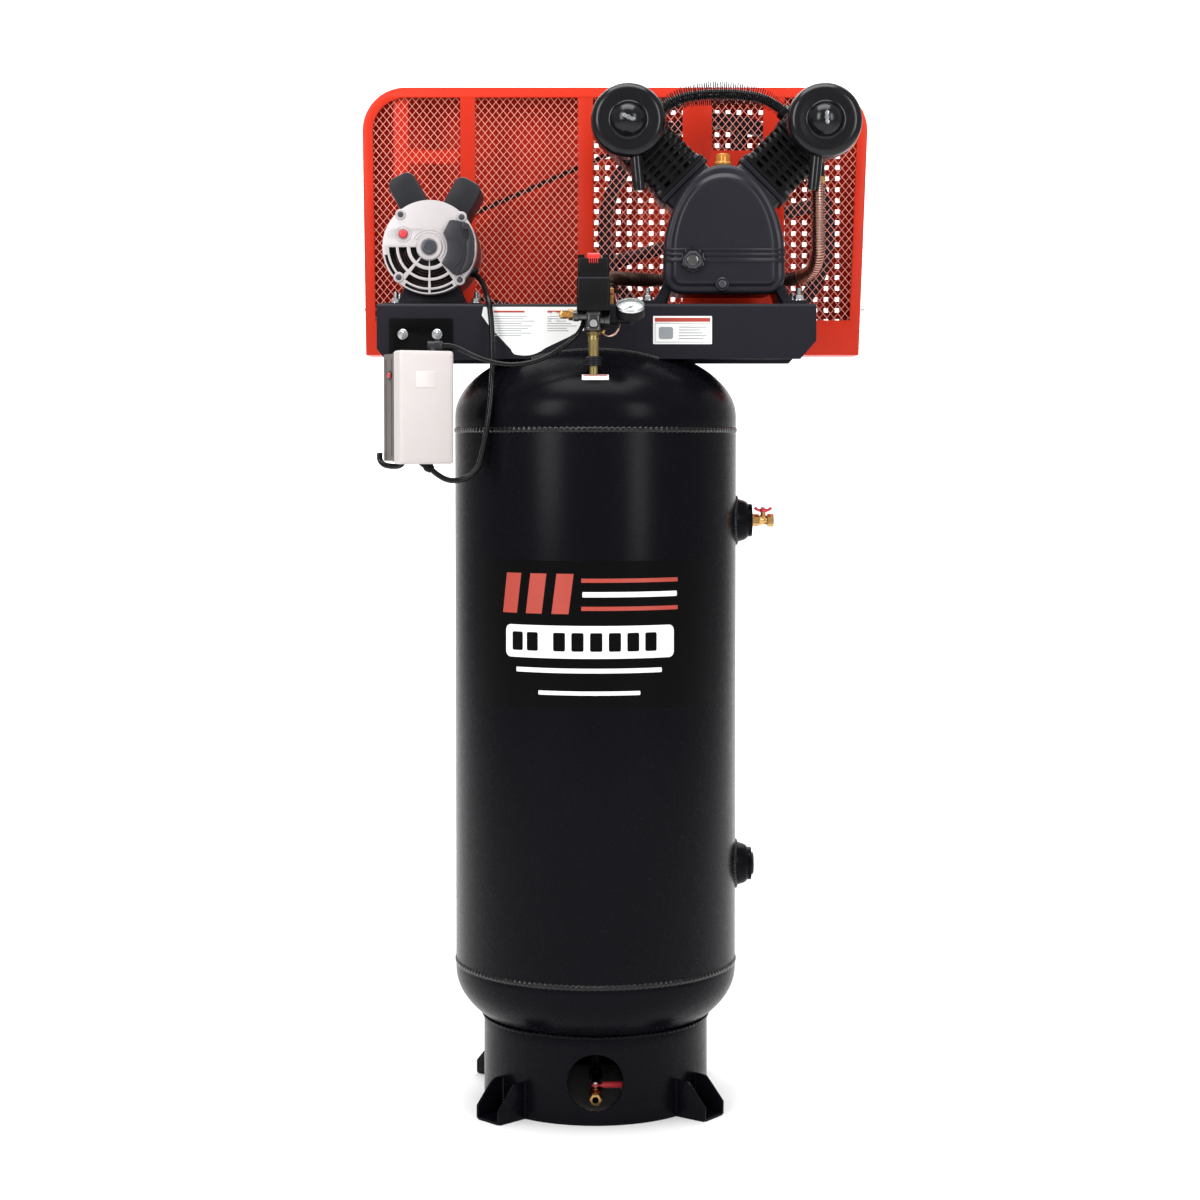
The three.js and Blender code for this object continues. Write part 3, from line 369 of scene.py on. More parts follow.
def clear_glass(name):
    """A thin clear sheet, mostly see-through, with a gloss of its own."""
    material = surface(name, "e9f0ee", 0.04, mottle=0.02, grain=0.01, spread=0.02)
    material.node_tree.nodes["Principled BSDF"].inputs["Alpha"].default_value = 0.14
    return material


TANK_PAINT = surface("tank_paint", "09090e", 0.27, grain=0.02, grain_scale=500, spread=0.03, shine=0.06)
PLATFORM_PAINT = surface("platform_paint", "1b1a21", 0.42, grain=0.12, grain_scale=900, dust=0.04,
                         shine=0.12)
CAST_PAINT = surface("cast_paint", "1c1b23", 0.32, grain=0.2, grain_scale=650, spread=0.06, dust=0.03,
                     shine=0.22)
FIN_PAINT = surface("fin_paint", "08080a", 0.3, grain=0.2, grain_scale=700, spread=0.08, shine=0.2)
WELD_PAINT = surface("weld_paint", "09090b", 0.16, grain=0.15, grain_scale=900, shine=0.3)
RED_PAINT = surface("red_paint", "c82b12", 0.42, grain=0.1, grain_scale=800, mottle=0.06, shine=0.2)
# The screen's red is lightened towards pink: a painted sheen for the light the strands reflect.
MESH_PAINT_WITH_SHEEN = surface("mesh_red_painted_sheen", "e58a7a", 0.34, grain=0.1, grain_scale=900, coat=0.3)
BRASS = surface("brass", "cba064", 0.28, metal=1.0, mottle=0.15, grain=0.12, grain_scale=1500, spread=0.1)
ZINC = surface("zinc", "d2d4d6", 0.26, metal=1.0, mottle=0.15, mottle_scale=200, grain=0.1,
               grain_scale=1800)
STEEL = surface("steel", "9da0a4", 0.34, metal=1.0, grain=0.15, grain_scale=1200, spread=0.1)
ALUMINIUM = surface("cast_aluminium", "bab4b5", 0.45, metal=0.3, mottle=0.05, grain=0.22, grain_scale=1100)
COPPER = surface("copper", "c7a093", 0.3, metal=1.0, mottle=0.2, mottle_scale=80, grain=0.1, spread=0.1)
BLACK_PLASTIC = surface("black_plastic", "08080a", 0.4, grain=0.15, grain_scale=1600, dust=0.01, shine=0.16)
EAR_PLASTIC = surface("ear_plastic", "191a1f", 0.5, grain=0.2, grain_scale=1500, shine=0.3)
BEIGE_PLASTIC = surface("beige_plastic", "c6bfbd", 0.42, mottle=0.03, grain=0.12, grain_scale=1500)
RED_PLASTIC = surface("red_plastic", "cf2f3c", 0.36, mottle=0.06, grain=0.1, grain_scale=1200, coat=0.2)
AMBER = surface("amber_plastic", "cf8a3a", 0.28, metal=0.35, mottle=0.15, grain=0.1)
GREY_PLASTIC = surface("grey_plastic", "232329", 0.4, grain=0.15, grain_scale=1500, shine=0.35)
DARK_METAL = surface("dark_metal", "4b4c52", 0.4, metal=0.7, mottle=0.2, grain=0.2, grain_scale=1200)
# Copper darkened almost to black: painted shade for the windings inside the motor.
WINDING = surface("copper_winding", "2a1a18", 0.45, metal=0.6, mottle=0.4, mottle_scale=120, grain=0.3)
FILTER_PAINT = surface("filter_paint", "0a0a0e", 0.2, grain=0.04, grain_scale=900, spread=0.04, shine=0.3)
OIL_GLASS = surface("oil_glass", "3c3d3a", 0.12, mottle=0.25, mottle_scale=160, grain=0.03, coat=0.6)
# A darker copy of the copper: painted shade for the tube's run behind the pump.
SHADED_COPPER = surface("copper_painted_shade", "54413a", 0.42, metal=0.8, mottle=0.35, mottle_scale=60, grain=0.2,
                     spread=0.1)
OLIVE_BRASS = surface("olive_brass", "8f7f52", 0.34, metal=1.0, mottle=0.2, grain=0.15, grain_scale=1300,
                      spread=0.1)
CAST_ZINC = surface("cast_zinc", "565756", 0.3, metal=0.95, mottle=0.2, grain=0.3, grain_scale=900,
                    spread=0.1)
KNOB_RED = surface("knob_red", "d8231f", 0.36, mottle=0.05, grain=0.08, coat=0.2)
GREY_BEIGE = surface("grey_beige", "5f5856", 0.46, mottle=0.04, grain=0.12, grain_scale=1500)
DARK_PLATE = surface("dark_plate", "050506", 0.5, mottle=0.2, grain=0.2, grain_scale=900, shine=0.06)
RUBBER = surface("rubber", "060607", 0.26, grain=0.08, grain_scale=1400, spread=0.06, shine=0.25)
WHITE_INK = surface("white_ink", "efefed", 0.45, mottle=0.03, grain=0.04)
GREY_INK = surface("grey_ink", "8e9196", 0.5, mottle=0.05, grain=0.04)
RED_INK = surface("red_ink", "a83a2c", 0.42, mottle=0.05, grain=0.04)
DARK_FILM = surface("dark_film", "060607", 0.2, mottle=0.05, grain=0.02, shine=0.08)
ENAMEL = surface("white_enamel", "f2f2ee", 0.4, mottle=0.02, grain=0.03)
ENAMEL_GREY = surface("blank_plate_enamel", "d4cdcb", 0.4, mottle=0.02, grain=0.03)
NEEDLE_PAINT = surface("needle_paint", "17181a", 0.4, mottle=0.05, grain=0.05)
# Near-black matte used as painted shade: in the plug's socket, behind the motor's vents and in the terminal
# cover's opening.
SHADOW = surface("dark_inside", "060607", 0.8, mottle=0.2, grain=0.2)
GLASS = clear_glass("clear_glass")

# ---------- camera, light and floor ----------
CAMERA_HEIGHT, CAMERA_DISTANCE, CAMERA_ASIDE, CAMERA_DROOP = 1.194, 4.2, 0.008, 2.17
LENS, FRAMING_SHIFT = 69.57, -0.06
camera_data = bpy.data.cameras.new("camera")
camera_data.lens = LENS
camera_data.sensor_width = 36
camera_data.shift_y = FRAMING_SHIFT
camera = bpy.data.objects.new("camera", camera_data)
camera.location = (ORIGIN.x + CAMERA_ASIDE, -CAMERA_DISTANCE, CAMERA_HEIGHT)
camera.rotation_euler = (math.radians(90 - CAMERA_DROOP), 0, 0)
bpy.context.collection.objects.link(camera)
bpy.context.scene.camera = camera


def softbox(name, place, target, width, height, power):
    """A rectangular studio light that faces a target."""
    light = bpy.data.lights.new(name, "AREA")
    light.shape = "RECTANGLE"
    light.size, light.size_y = width, height
    light.energy = power
    lamp = bpy.data.objects.new(name, light)
    lamp.location = place
    lamp.rotation_euler = (Vector(target) - Vector(place)).to_track_quat("-Z", "Y").to_euler()
    bpy.context.collection.objects.link(lamp)


def studio():
    """A pale floor that curves up into a pale wall, and the lights over it."""
    bm = bmesh.new()
    wall, bend = 8.0, 2.0
    profile = [(-12.0, 0.0), (wall - bend, 0.0)] + [
        (wall - bend * (1 - math.sin(t)), bend * (1 - math.cos(t)))
        for t in (math.pi / 2 * i / 16 for i in range(1, 17))]
    profile.append((wall, 7.0))
    half_width = 9.0
    rings = [[bm.verts.new((x, y, z)) for x in (-half_width, half_width)] for y, z in profile]
    skin(bm, rings, closed_ring=False)
    mesh = bpy.data.meshes.new("floor")
    bm.to_mesh(mesh)
    bm.free()
    for face in mesh.polygons:
        face.use_smooth = True
    mesh.materials.append(surface("floor_paper", "f4f4f4", 0.85, mottle=0.01, grain=0.02, mottle_scale=2))
    floor = bpy.data.objects.new("floor", mesh)
    bpy.context.collection.objects.link(floor)
    softbox("left_softbox", (-2.6, -3.4, 2.9), (0, 0, 0.9), 1.3, 2.6, 100)
    softbox("right_softbox", (2.5, -3.7, 2.5), (0, 0, 0.9), 1.0, 2.4, 64)
    softbox("top_softbox", (-0.1, -0.7, 4.4), (0, 0, 0.4), 2.8, 2.0, 110)
    softbox("wall_wash", (0, 4.6, 6.2), (0, 8.0, 1.6), 8.0, 1.0, 420)
    softbox("floor_wash", (0, 3.4, 5.4), (0, 4.2, 0), 7.0, 1.6, 210)
    world = bpy.data.worlds.new("studio")
    world.use_nodes = True
    world.node_tree.nodes["Background"].inputs["Color"].default_value = (1, 1, 1, 1)
    world.node_tree.nodes["Background"].inputs["Strength"].default_value = 0.55
    bpy.context.scene.world = world
    bpy.context.scene.view_settings.view_transform = "Standard"


studio()

# ---------- cables, in metres, as in the part ----------
SWITCH_CABLE_ROUTE = [
    (-0.020, -0.195, 1.4146), (-0.020, -0.195, 1.404), (-0.0225, -0.1967, 1.391), (-0.031, -0.202, 1.376),
    (-0.043, -0.208, 1.364), (-0.060, -0.212, 1.351), (-0.085, -0.215, 1.336), (-0.116, -0.216, 1.326),
    (-0.148, -0.216, 1.3235), (-0.177, -0.2155, 1.328), (-0.203, -0.212, 1.337), (-0.222, -0.208, 1.346),
    (-0.237, -0.2056, 1.353), (-0.250, -0.205, 1.3568), (-0.2617, -0.205, 1.357),
]
MOTOR_CABLE_ROUTE = [
    (-0.21455, -0.0552, 1.48985), (-0.2097, -0.062, 1.4849), (-0.2047, -0.069, 1.4798),
    (-0.1995, -0.081, 1.4716),
    (-0.195, -0.099, 1.4606), (-0.191, -0.117, 1.4505), (-0.188, -0.1305, 1.4413), (-0.185, -0.140, 1.4285),
    (-0.1825, -0.1455, 1.410), (-0.1805, -0.150, 1.386), (-0.179, -0.159, 1.350), (-0.1785, -0.172, 1.313),
    (-0.180, -0.182, 1.275), (-0.184, -0.187, 1.236), (-0.189, -0.188, 1.204), (-0.1986, -0.1876, 1.1588),
    (-0.208, -0.187, 1.1408), (-0.2241, -0.186, 1.1284), (-0.244, -0.185, 1.124),
    (-0.2601, -0.1843, 1.1268),
    (-0.2742, -0.184, 1.135), (-0.2822, -0.184, 1.1417),
]


def cable(name, route, diameter):
    """A cable along its route from the tank's axis, which goes back into the object at its far end."""
    curve = bpy.data.curves.new(name, "CURVE")
    curve.dimensions = "3D"
    curve.bevel_depth = diameter / 2
    curve.bevel_resolution = 6
    curve.use_fill_caps = True
    path = [point + ORIGIN for point in smooth_path(route, 6)]
    line = curve.splines.new("POLY")
    line.points.add(len(path) - 1)
    for knot, point in zip(line.points, path):
        knot.co = (*point, 1)
    line.use_smooth = True
    curve.materials.append(RUBBER)
    piece = bpy.data.objects.new(name + "_lead", curve)
    bpy.context.collection.objects.link(piece)
    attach(piece, "machine")
    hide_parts(name)


cable("switch_cable", SWITCH_CABLE_ROUTE, 0.008)
cable("motor_cable", MOTOR_CABLE_ROUTE, 0.010)


# ---------- tank ----------
TANK_R = (tank_high.x - tank_low.x) / 2 / MM - 2.0  # the seams stand 2 mm proud of the shell
HEAD_DEPTH = 135.0
LOW_TANGENT = tank_low.z / MM + HEAD_DEPTH
HIGH_TANGENT = tank_high.z / MM - HEAD_DEPTH
SEAM_LOW, SEAM_HIGH = LOW_TANGENT + 15, HIGH_TANGENT - 24


def dome_height(radius):
    """How high the upper head is at a distance from the tank's axis."""
    return HIGH_TANGENT + HEAD_DEPTH * math.sqrt(max(0.0, 1 - (radius / TANK_R) ** 2))


def round_path(radius, z, steps):
    return [Vector((radius * math.cos(t), radius * math.sin(t), z))
            for t in (2 * math.pi * i / steps for i in range(steps))]


def outward(point):
    return Vector((point.x, point.y, 0)).normalized()


def tank():
    bm = bmesh.new()
    steps = 30
    turns = [math.pi / 2 * i / steps for i in range(steps + 1)]
    profile = [(TANK_R * math.sin(t), LOW_TANGENT - HEAD_DEPTH * math.cos(t)) for t in turns]
    for seam in (SEAM_LOW, SEAM_HIGH):
        profile += [(TANK_R, seam - 8), (TANK_R - 0.8, seam - 5), (TANK_R - 0.8, seam + 5),
                    (TANK_R, seam + 8)]
    profile += [(TANK_R * math.cos(t), HIGH_TANGENT + HEAD_DEPTH * math.sin(t)) for t in turns]
    profile[0], profile[-1] = (0, profile[0][1]), (0, profile[-1][1])
    spin(bm, profile, sides=192)
    build("tank_body", bm, TANK_PAINT, stands_for=["tank_shell"], slot="black_paint", crease=30)
    bm = bmesh.new()
    for seam in (SEAM_LOW, SEAM_HIGH):
        weld_bead(bm, round_path(TANK_R - 0.6, seam, 1120), 10, 2.4, outward, closed=True, ripple=7)
    build("tank_seams", bm, WELD_PAINT, slot="black_paint", crease=60)


def base_ring():
    low, high = span("base_ring")
    outer = (high.x - low.x) / 2
    hole_z, hole_radius, wall = 75, 50, 5
    bm = bmesh.new()
    half = math.pi * outer
    plate(bm, [rectangle(-half, half, 0, high.z), circle(0, hole_z, hole_radius, 56)], 0, wall, 0.5)
    wrap(bm, outer, step=3)
    bmesh.ops.remove_doubles(bm, verts=bm.verts, dist=0.2)
    build("base_skirt", bm, TANK_PAINT, stands_for=["base_ring"], slot="black_paint", crease=35)
    bm = bmesh.new()

    def fillet_side(point):
        return (outward(point) - Vector((0, 0, 1))).normalized()

    weld_bead(bm, round_path(outer + 1, high.z + 0.5, 700), 7, 2.2, fillet_side, closed=True, ripple=6)
    build("skirt_weld", bm, TANK_PAINT, slot="black_paint", crease=60)


def tank_foot(node, angle):
    """A folded channel welded to the skirt, with a bolt hole in its floor."""
    inner, tip, shoulder, high, low, wall, half = 199, 262, 222, 66, 25, 4.5, 30
    outline = [(inner, 0), (tip - 3, 0), (tip, 3), (tip, low), (shoulder + 15, high - 13),
               (shoulder + 4, high - 1.5),
               (shoulder - 2, high), (inner, high)]
    bm = bmesh.new()
    for start in (-half, half - wall):
        plate(bm, [outline], start, start + wall, 0.6)
    floor = [(inner, -half + wall), (tip, -half + wall), (tip, half - wall), (inner, half - wall)]
    lay_flat = Matrix.Rotation(math.pi / 2, 4, "X")
    plate(bm, [floor, circle(240, 0, 6.5, 24)], 0, 5, 0.5, lay_flat)
    for side in (-1, 1):
        seam = [Vector((inner + 2.5, side * (half - wall / 2), z)) for z in range(4, high)]
        weld_bead(bm, seam, 9, 2.6, lambda point: Vector((0.75, side * 0.65, 0)).normalized(), ripple=5)
    bm.transform(Matrix.Rotation(math.radians(angle), 4, "Z"))
    build(node + "_channel", bm, TANK_PAINT, stands_for=[node], slot="black_paint", crease=40)


def port(node, z):
    """A pad welded to the tank's right side, with its threaded mouth."""
    low, high = span(node)
    face = high.x
    pad, disc = (high.z - low.z) / 2, 30
    bm = bmesh.new()
    profile = [(0, TANK_R - 12), (pad, TANK_R - 12), (pad, TANK_R - 1), (pad - 1.5, TANK_R + 3),
               (pad - 5, face - 14),
               (disc + 3, face - 9), (disc, face - 7), (disc, face - 1), (disc - 1, face), (13, face),
               (11.5, face - 1.5)]
    profile += [(11.5 - 0.5 * (i % 2), face - 2 - i * 0.7) for i in range(12)] + [(0, face - 11)]
    spin(bm, profile, (0, 0, z), (1, 0, 0), 72)
    build(node + "_pad", bm, TANK_PAINT, stands_for=[node], slot="black_paint", crease=38)
    ring = []
    for i in range(220):
        turn = 2 * math.pi * i / 220
        y, up = (pad + 1) * math.sin(turn), (pad + 1) * math.cos(turn)
        ring.append(Vector((math.sqrt(TANK_R ** 2 - y * y) + 0.5, y, z + up)))

    def fillet_side(point):
        return (outward(point) + (point - Vector((point.x, 0, z))).normalized()).normalized()

    bm = bmesh.new()
    weld_bead(bm, ring, 9, 3, fillet_side, closed=True, ripple=5)
    build(node + "_weld", bm, WELD_PAINT, slot="black_paint", crease=60)


def outlet_valve():
    low, high = span("outlet_valve_body")
    y, z = 0.0, middle("port_boss_upper").z
    start, end = low.x, high.x
    bm = bmesh.new()
    hexagon(bm, (start, y, z), (1, 0, 0), 20, 13)
    spin(bm, [(0, 0), (9, 0), (9.2, 4), (8, 6), (8, 12), (9.2, 14), (9, 17), (0, 17)],
         (start + 12.5, y, z), (1, 0, 0), 40)
    hexagon(bm, (end, y, z), (-1, 0, 0), 21, 12)
    spin(bm, [(0, 0), (7.5, 0), (7.5, 1), (6.2, 1), (6, -8), (0, -8)], (end - 0.5, y, z), (1, 0, 0), 32)
    stem = (start + 20, y, z)
    spin(bm, [(0, 0), (6, 0), (6, 9), (4.8, 10), (4.8, 14), (0, 14)], stem, (0, 0, 1), 28)
    build("outlet_valve", bm, BRASS, stands_for=["outlet_valve_body"], slot="brass", crease=35)
    low, high = span("outlet_valve_handle")
    x = (low.x + high.x) / 2
    half, bottom = (high.x - low.x) / 2, low.z
    wing = [(5, 2), (9, 3), (half - 3, 5), (half, 8.5), (half - 1.5, 11), (half - 5, 11.5), (9, 8.5),
            (5, 8)]
    bm = bmesh.new()
    for side in (-1, 1):
        plate(bm, [[(x + side * u, bottom + v - 1.5) for u, v in wing]], -3.2, 3.2, 1.1)
    spin(bm, [(0, 0), (6.5, 0), (6.5, 6), (5, 7.5), (0, 7.5)], (x, y, bottom), (0, 0, 1), 32)
    build("outlet_wing", bm, RED_PLASTIC, "outlet_handle", ["outlet_valve_handle"], "red_plastic",
          crease=50)
    bm = bmesh.new()
    hexagon(bm, (x, y, bottom + 7.4), (0, 0, 1), 6, 2.6)
    build("outlet_wing_nut", bm, ZINC, "outlet_handle", slot="steel", crease=30)


def lower_plug():
    low = span("lower_port_plug")[0]
    z = middle("lower_port_plug").z
    bm = bmesh.new()
    spin(bm, [(0, 0), (20, 0), (20, 3), (19, 4), (7.5, 4), (7, 3.6)], (low.x, 0, z), (1, 0, 0), 48)
    build("port_plug", bm, CAST_PAINT, stands_for=["lower_port_plug"], slot="black_paint", crease=35)
    # The socket's hollow is drawn in near-black: painted shade in the recess.
    bm = bmesh.new()
    spin(bm, [(0, 0), (6.8, 0), (6.8, 3.3), (4.6, 3.3), (4.4, 1), (0, 1)], (low.x, 0, z), (1, 0, 0), 6)
    build("port_plug_socket", bm, SHADOW, slot="black_paint", crease=30)


def drain_valve():
    """The drain under the tank: a pipe down and forward to a ball valve whose lever lies across it."""
    low, high = span("drain_valve_body")
    lever_low, lever_high = span("drain_valve_lever")
    z, front, pipe = low.z + 12, low.y, 8
    y = (lever_low.y + lever_high.y) / 2
    bm = bmesh.new()
    spin(bm, [(0, z - 2), (9, z - 2), (10, z), (10, high.z), (0, high.z)], sides=36)
    spin(bm, [(0, -14), (10, -14), (12, -10), (12.4, 0), (12, 10), (10, 12), (0, 12)], (0, 0, z),
         (0, 1, 0), 36)
    spin(bm, [(0, 10), (pipe, 10), (pipe, -front - 56), (0, -front - 56)], (0, 0, z), (0, -1, 0), 36)
    build("drain_pipe", bm, WELD_PAINT, slot="brass", crease=35)
    bm = bmesh.new()
    hexagon(bm, (0, front + 58, z), (0, -1, 0), 20, 9)
    barrel = [(0, 48), (8.6, 48), (10.4, 45), (11.2, 41), (11.2, 26), (10.4, 22), (8.6, 19), (8.6, 10),
              (0, 10)]
    spin(bm, barrel, (0, front, z), (0, 1, 0), 36)
    hexagon(bm, (0, front + 12, z), (0, -1, 0), 20.6, 10)
    spin(bm, [(0, 10), (8.4, 10), (8.4, 12), (7.6, 12), (6, 12), (6, 2), (0, 2)][::-1], (0, front + 12, z),
         (0, -1, 0), 32)
    spin(bm, [(0, z), (6, z), (6, z + 12), (4.5, z + 13), (4.5, z + 16), (0, z + 16)], (0, y, 0), sides=24)
    build("drain_valve", bm, BRASS, stands_for=["drain_valve_body"], slot="brass", crease=35)
    bottom, reach = lever_low.z, lever_high.x
    bm = bmesh.new()
    lay_flat = Matrix.Rotation(math.pi / 2, 4, "X")
    plate(bm, [rounded(2, reach - 1, -y - 4.4, -y + 4.4, 4.2)], bottom, bottom + 3, 0.5, lay_flat)
    spin(bm, [(0, 0), (8, 0), (8, 2.5), (7.4, 3.2), (0, 3.2)], (0, y, bottom), (0, 0, 1), 32)
    sleeve = [(0, 0), (5.2, 0), (5.6, 1.5), (5.6, reach - 16), (4.4, reach - 13), (0, reach - 12.4)]
    spin(bm, sleeve, (12, y, bottom + 1.6), (1, 0, 0), 24)
    build("drain_lever_blade", bm, RED_PLASTIC, "drain_lever", ["drain_valve_lever"], "red_plastic",
          crease=45)
    bm = bmesh.new()
    hexagon(bm, (0, y, bottom + 3.1), (0, 0, 1), 8, 4)
    build("drain_lever_nut", bm, ZINC, "drain_lever", slot="steel", crease=30)


def tank_decal():
    """A plain dark film with an abstract mark, two lines, a bar of dark blocks and three rules."""
    def film(name, loops, lift, material):
        bm = bmesh.new()
        for outline in loops:
            plate(bm, [outline], -0.25, 0.0)
        wrap(bm, TANK_R, lift, step=2.5)
        build(name, bm, material, slot="black_paint" if material is DARK_FILM else "white_enamel",
              crease=30)

    film("decal_ground", [rounded(-237, 237, 735, 988, 3)], 0.1, DARK_FILM)
    slant = 9
    mark = [[(u, 897), (u + 30, 897), (u + 30 + slant, 966), (u + slant, 966)] for u in (-172, -124, -76)]
    film("decal_mark", mark, 0.4, RED_INK)
    film("decal_lines", [rectangle(-24, 150, 951, 958), rectangle(-24, 150, 903, 910)], 0.4, RED_INK)
    film("decal_bar", [rounded(-165, 142, 821, 877, 10)], 0.4, WHITE_INK)
    blocks = [rounded(u, u + 21, 833, 865, 3) for u in (-151, -122, -73, -41, -9, 23, 55, 87)]
    film("decal_bar_blocks", blocks, 0.7, DARK_FILM)
    rules = [rounded(-22, 148, 926, 935, 1.5), rounded(-143, 118, 796, 804, 1.5),
             rounded(-100, 78, 758, 765, 1.5)]
    film("decal_rules", rules, 0.4, WHITE_INK)


def dome_patch(name, x0, x1, z0, z1, lift, material):
    """A thin patch that follows the front of the upper head, between two heights."""
    columns, rows = 12, 5
    bm = bmesh.new()
    grid = []
    for r in range(rows + 1):
        z = z0 + (z1 - z0) * r / rows
        reach = TANK_R * math.sqrt(1 - ((z - HIGH_TANGENT) / HEAD_DEPTH) ** 2) + lift
        turns = [(x0 + (x1 - x0) * c / columns) / reach for c in range(columns + 1)]
        grid.append([bm.verts.new((reach * math.sin(a), -reach * math.cos(a), z + lift)) for a in turns])
    skin(bm, grid, closed_ring=False)
    build(name, bm, material, slot="white_enamel", crease=40)


def dome_label():
    """A small white label with a red edge, on the upper head in front of the riser pipe."""
    dome_patch("dome_label", -23, 23, 1296.5, 1306, 0.4, WHITE_INK)
    dome_patch("dome_label_band", -21, 21, 1303.6, 1305.2, 0.8, RED_INK)


tank()
base_ring()
for foot_name, foot_angle in (("foot_front_left", 224), ("foot_front_right", 323), ("foot_rear_left", 142),
                              ("foot_rear_right", 44)):
    tank_foot(foot_name, foot_angle)
port("port_boss_upper", 1049)
port("port_boss_lower", 424)
outlet_valve()
lower_plug()
drain_valve()
tank_decal()
dome_label()

# ---------- platform ----------
deck_low, deck_high = span("platform")
DECK_TOP = deck_high.z


def platform():
    """A folded steel channel, notched at its lower corners, that sits on the tank's head."""
    half, bottom, wall, bend = deck_high.y, deck_low.z, 5, 7
    outer = [(half, bottom), *arc(half - bend, DECK_TOP - bend, bend, 0, 90, 6)]
    inner = [*arc(half - bend, DECK_TOP - bend, bend - wall + 0.5, 90, 0, 4), (half - wall, bottom)]
    right = outer + [(-y, z) for y, z in reversed(outer)] + [(-y, z) for y, z in reversed(inner)] + inner
    bm = bmesh.new()
    rings = [[bm.verts.new((x, y, z)) for y, z in right] for x in (deck_low.x, deck_high.x)]
    skin(bm, rings, close_ends=True)
    left_cut, right_cut = (14, 18), (28, 32)
    chop(bm, (deck_low.x + left_cut[0], 0, bottom), (-left_cut[1], 0, -left_cut[0]))
    chop(bm, (deck_high.x - right_cut[0], 0, bottom), (right_cut[1], 0, -right_cut[0]))
    bmesh.ops.triangulate(bm, faces=[f for f in bm.faces if len(f.verts) > 4])
    build("platform_channel", bm, PLATFORM_PAINT, stands_for=["platform"], slot="black_paint", soften=0.8)
    bm = bmesh.new()
    for side in (-1, 1):
        y = side * (half + 0.8)
        seam = [Vector((x, y, dome_height(math.hypot(x, half)) + 1.5)) for x in range(-112, 113)]
        weld_bead(bm, seam, 9, 2.8, lambda point: Vector((0, side * 0.8, 0.6)).normalized(), ripple=5)
    build("platform_weld", bm, WELD_PAINT, slot="black_paint", crease=60)


def flat_label(name, loops, y, material, slot="white_enamel"):
    """A thin sticker on a front face."""
    bm = bmesh.new()
    for outline in loops:
        plate(bm, [outline], y - 0.25, y)
    build(name, bm, material, slot=slot, crease=30)


def platform_labels():
    front = deck_low.y - 0.1
    top = 1427
    swoosh = [(-196, top), (-20, top), (-20, 1386)]
    swoosh += arc(-14, 1336, 50, 97, 127, 6) + arc(-124, 1398, 56, 310, 262, 6)
    swoosh += arc(-136, 1355, 12, 250, 190, 3) + [(-166, 1372), (-186, 1394), (-199, 1412)]
    flat_label("platform_sticker", [swoosh], front, WHITE_INK)
    heads = [rectangle(-178, -124, 1417, 1420.5), rectangle(-84, -40, 1417, 1420.5)]
    flat_label("platform_sticker_heads", heads, front - 0.25, RED_INK)
    lines = []
    for column, width in ((-178, 84), (-84, 56)):
        for i in range(9 if column < -100 else 7):
            length = width * dice.uniform(0.55, 1.0)
            lines.append(rectangle(column, column + length, 1410 - i * 4.2, 1411.2 - i * 4.2))
    flat_label("platform_sticker_lines", lines, front - 0.25, GREY_INK)
    flat_label("plain_sticker", [rounded(101, 204, 1362, 1411, 1.5)], front, WHITE_INK)
    flat_label("plain_sticker_head", [rectangle(104, 201, 1401, 1408)], front - 0.25, RED_INK)
    frame_line = [rectangle(104, 201, 1365, 1399), rectangle(105, 200, 1366, 1398)]
    bm = bmesh.new()
    plate(bm, frame_line, front - 0.5, front - 0.25)
    build("plain_sticker_frame", bm, GREY_INK, slot="white_enamel", crease=30)
    blocks = [rectangle(146, 146 + dice.uniform(30, 50), z, z + 1.4) for z in range(1371, 1396, 5)]
    blocks.append(rounded(111, 136, 1371, 1392, 4))
    flat_label("plain_sticker_blocks", blocks, front - 0.5, GREY_INK)


platform()
platform_labels()

# ---------- belt guard ----------
guard_low, guard_high = span("guard_front_frame")
back_low, back_high = span("guard_back")
GUARD_CORNER = 80
GUARD_TAPER_LEFT, GUARD_TAPER_RIGHT = 5, 15
PANEL_LEFT, PANEL_RIGHT = 162, 352


def guard_outline(inset=0.0, steps=10):
    """The guard's front shape: narrower at its foot, with round upper corners."""
    left, right, bottom, top = guard_low.x, guard_high.x, guard_low.z, guard_high.z
    radius = GUARD_CORNER - inset
    return [
        (left + GUARD_TAPER_LEFT + inset, bottom + inset),
        (right - GUARD_TAPER_RIGHT - inset, bottom + inset),
        *arc(right - GUARD_CORNER, top - GUARD_CORNER, radius, 0, 90, steps),
        *arc(left + GUARD_CORNER, top - GUARD_CORNER, radius, 90, 180, steps)]


def guard_front():
    front, seam, sheet = guard_low.y, guard_high.y, 3
    sill, border, strut_edges = 1418, 19, (-253, -225, -33, -5)
    top, left, right = guard_high.z - border, guard_low.x + border, guard_high.x - border
    inner = GUARD_CORNER - border
    crank = middle("flywheel")
    left_bay = [(left + 4, sill), (strut_edges[0], sill), (strut_edges[0], top),
                *arc(left + inner, top - inner, inner, 90, 180, 8)]
    right_bay = [(PANEL_RIGHT, sill), (right - 13, sill), *arc(right - inner, top - inner, inner, 0, 90, 8),
                 (PANEL_RIGHT, top)]
    loops = [
        guard_outline(), left_bay, right_bay,
        rounded(strut_edges[1], strut_edges[2], sill, top, 3, 3),
        rounded(strut_edges[3], PANEL_LEFT, sill, top, 3, 3),
        rounded(217, 312, 1734, top, 4, 3), circle(crank.x, crank.z, 55, 40)]
    bm = bmesh.new()
    plate(bm, loops, front, front + sheet, 0.7)
    plate(bm, [guard_outline(), guard_outline(sheet)], front + 0.2, seam, 0.6)
    build("guard_front", bm, RED_PAINT, stands_for=["guard_front_frame"], slot="red_paint", crease=35)


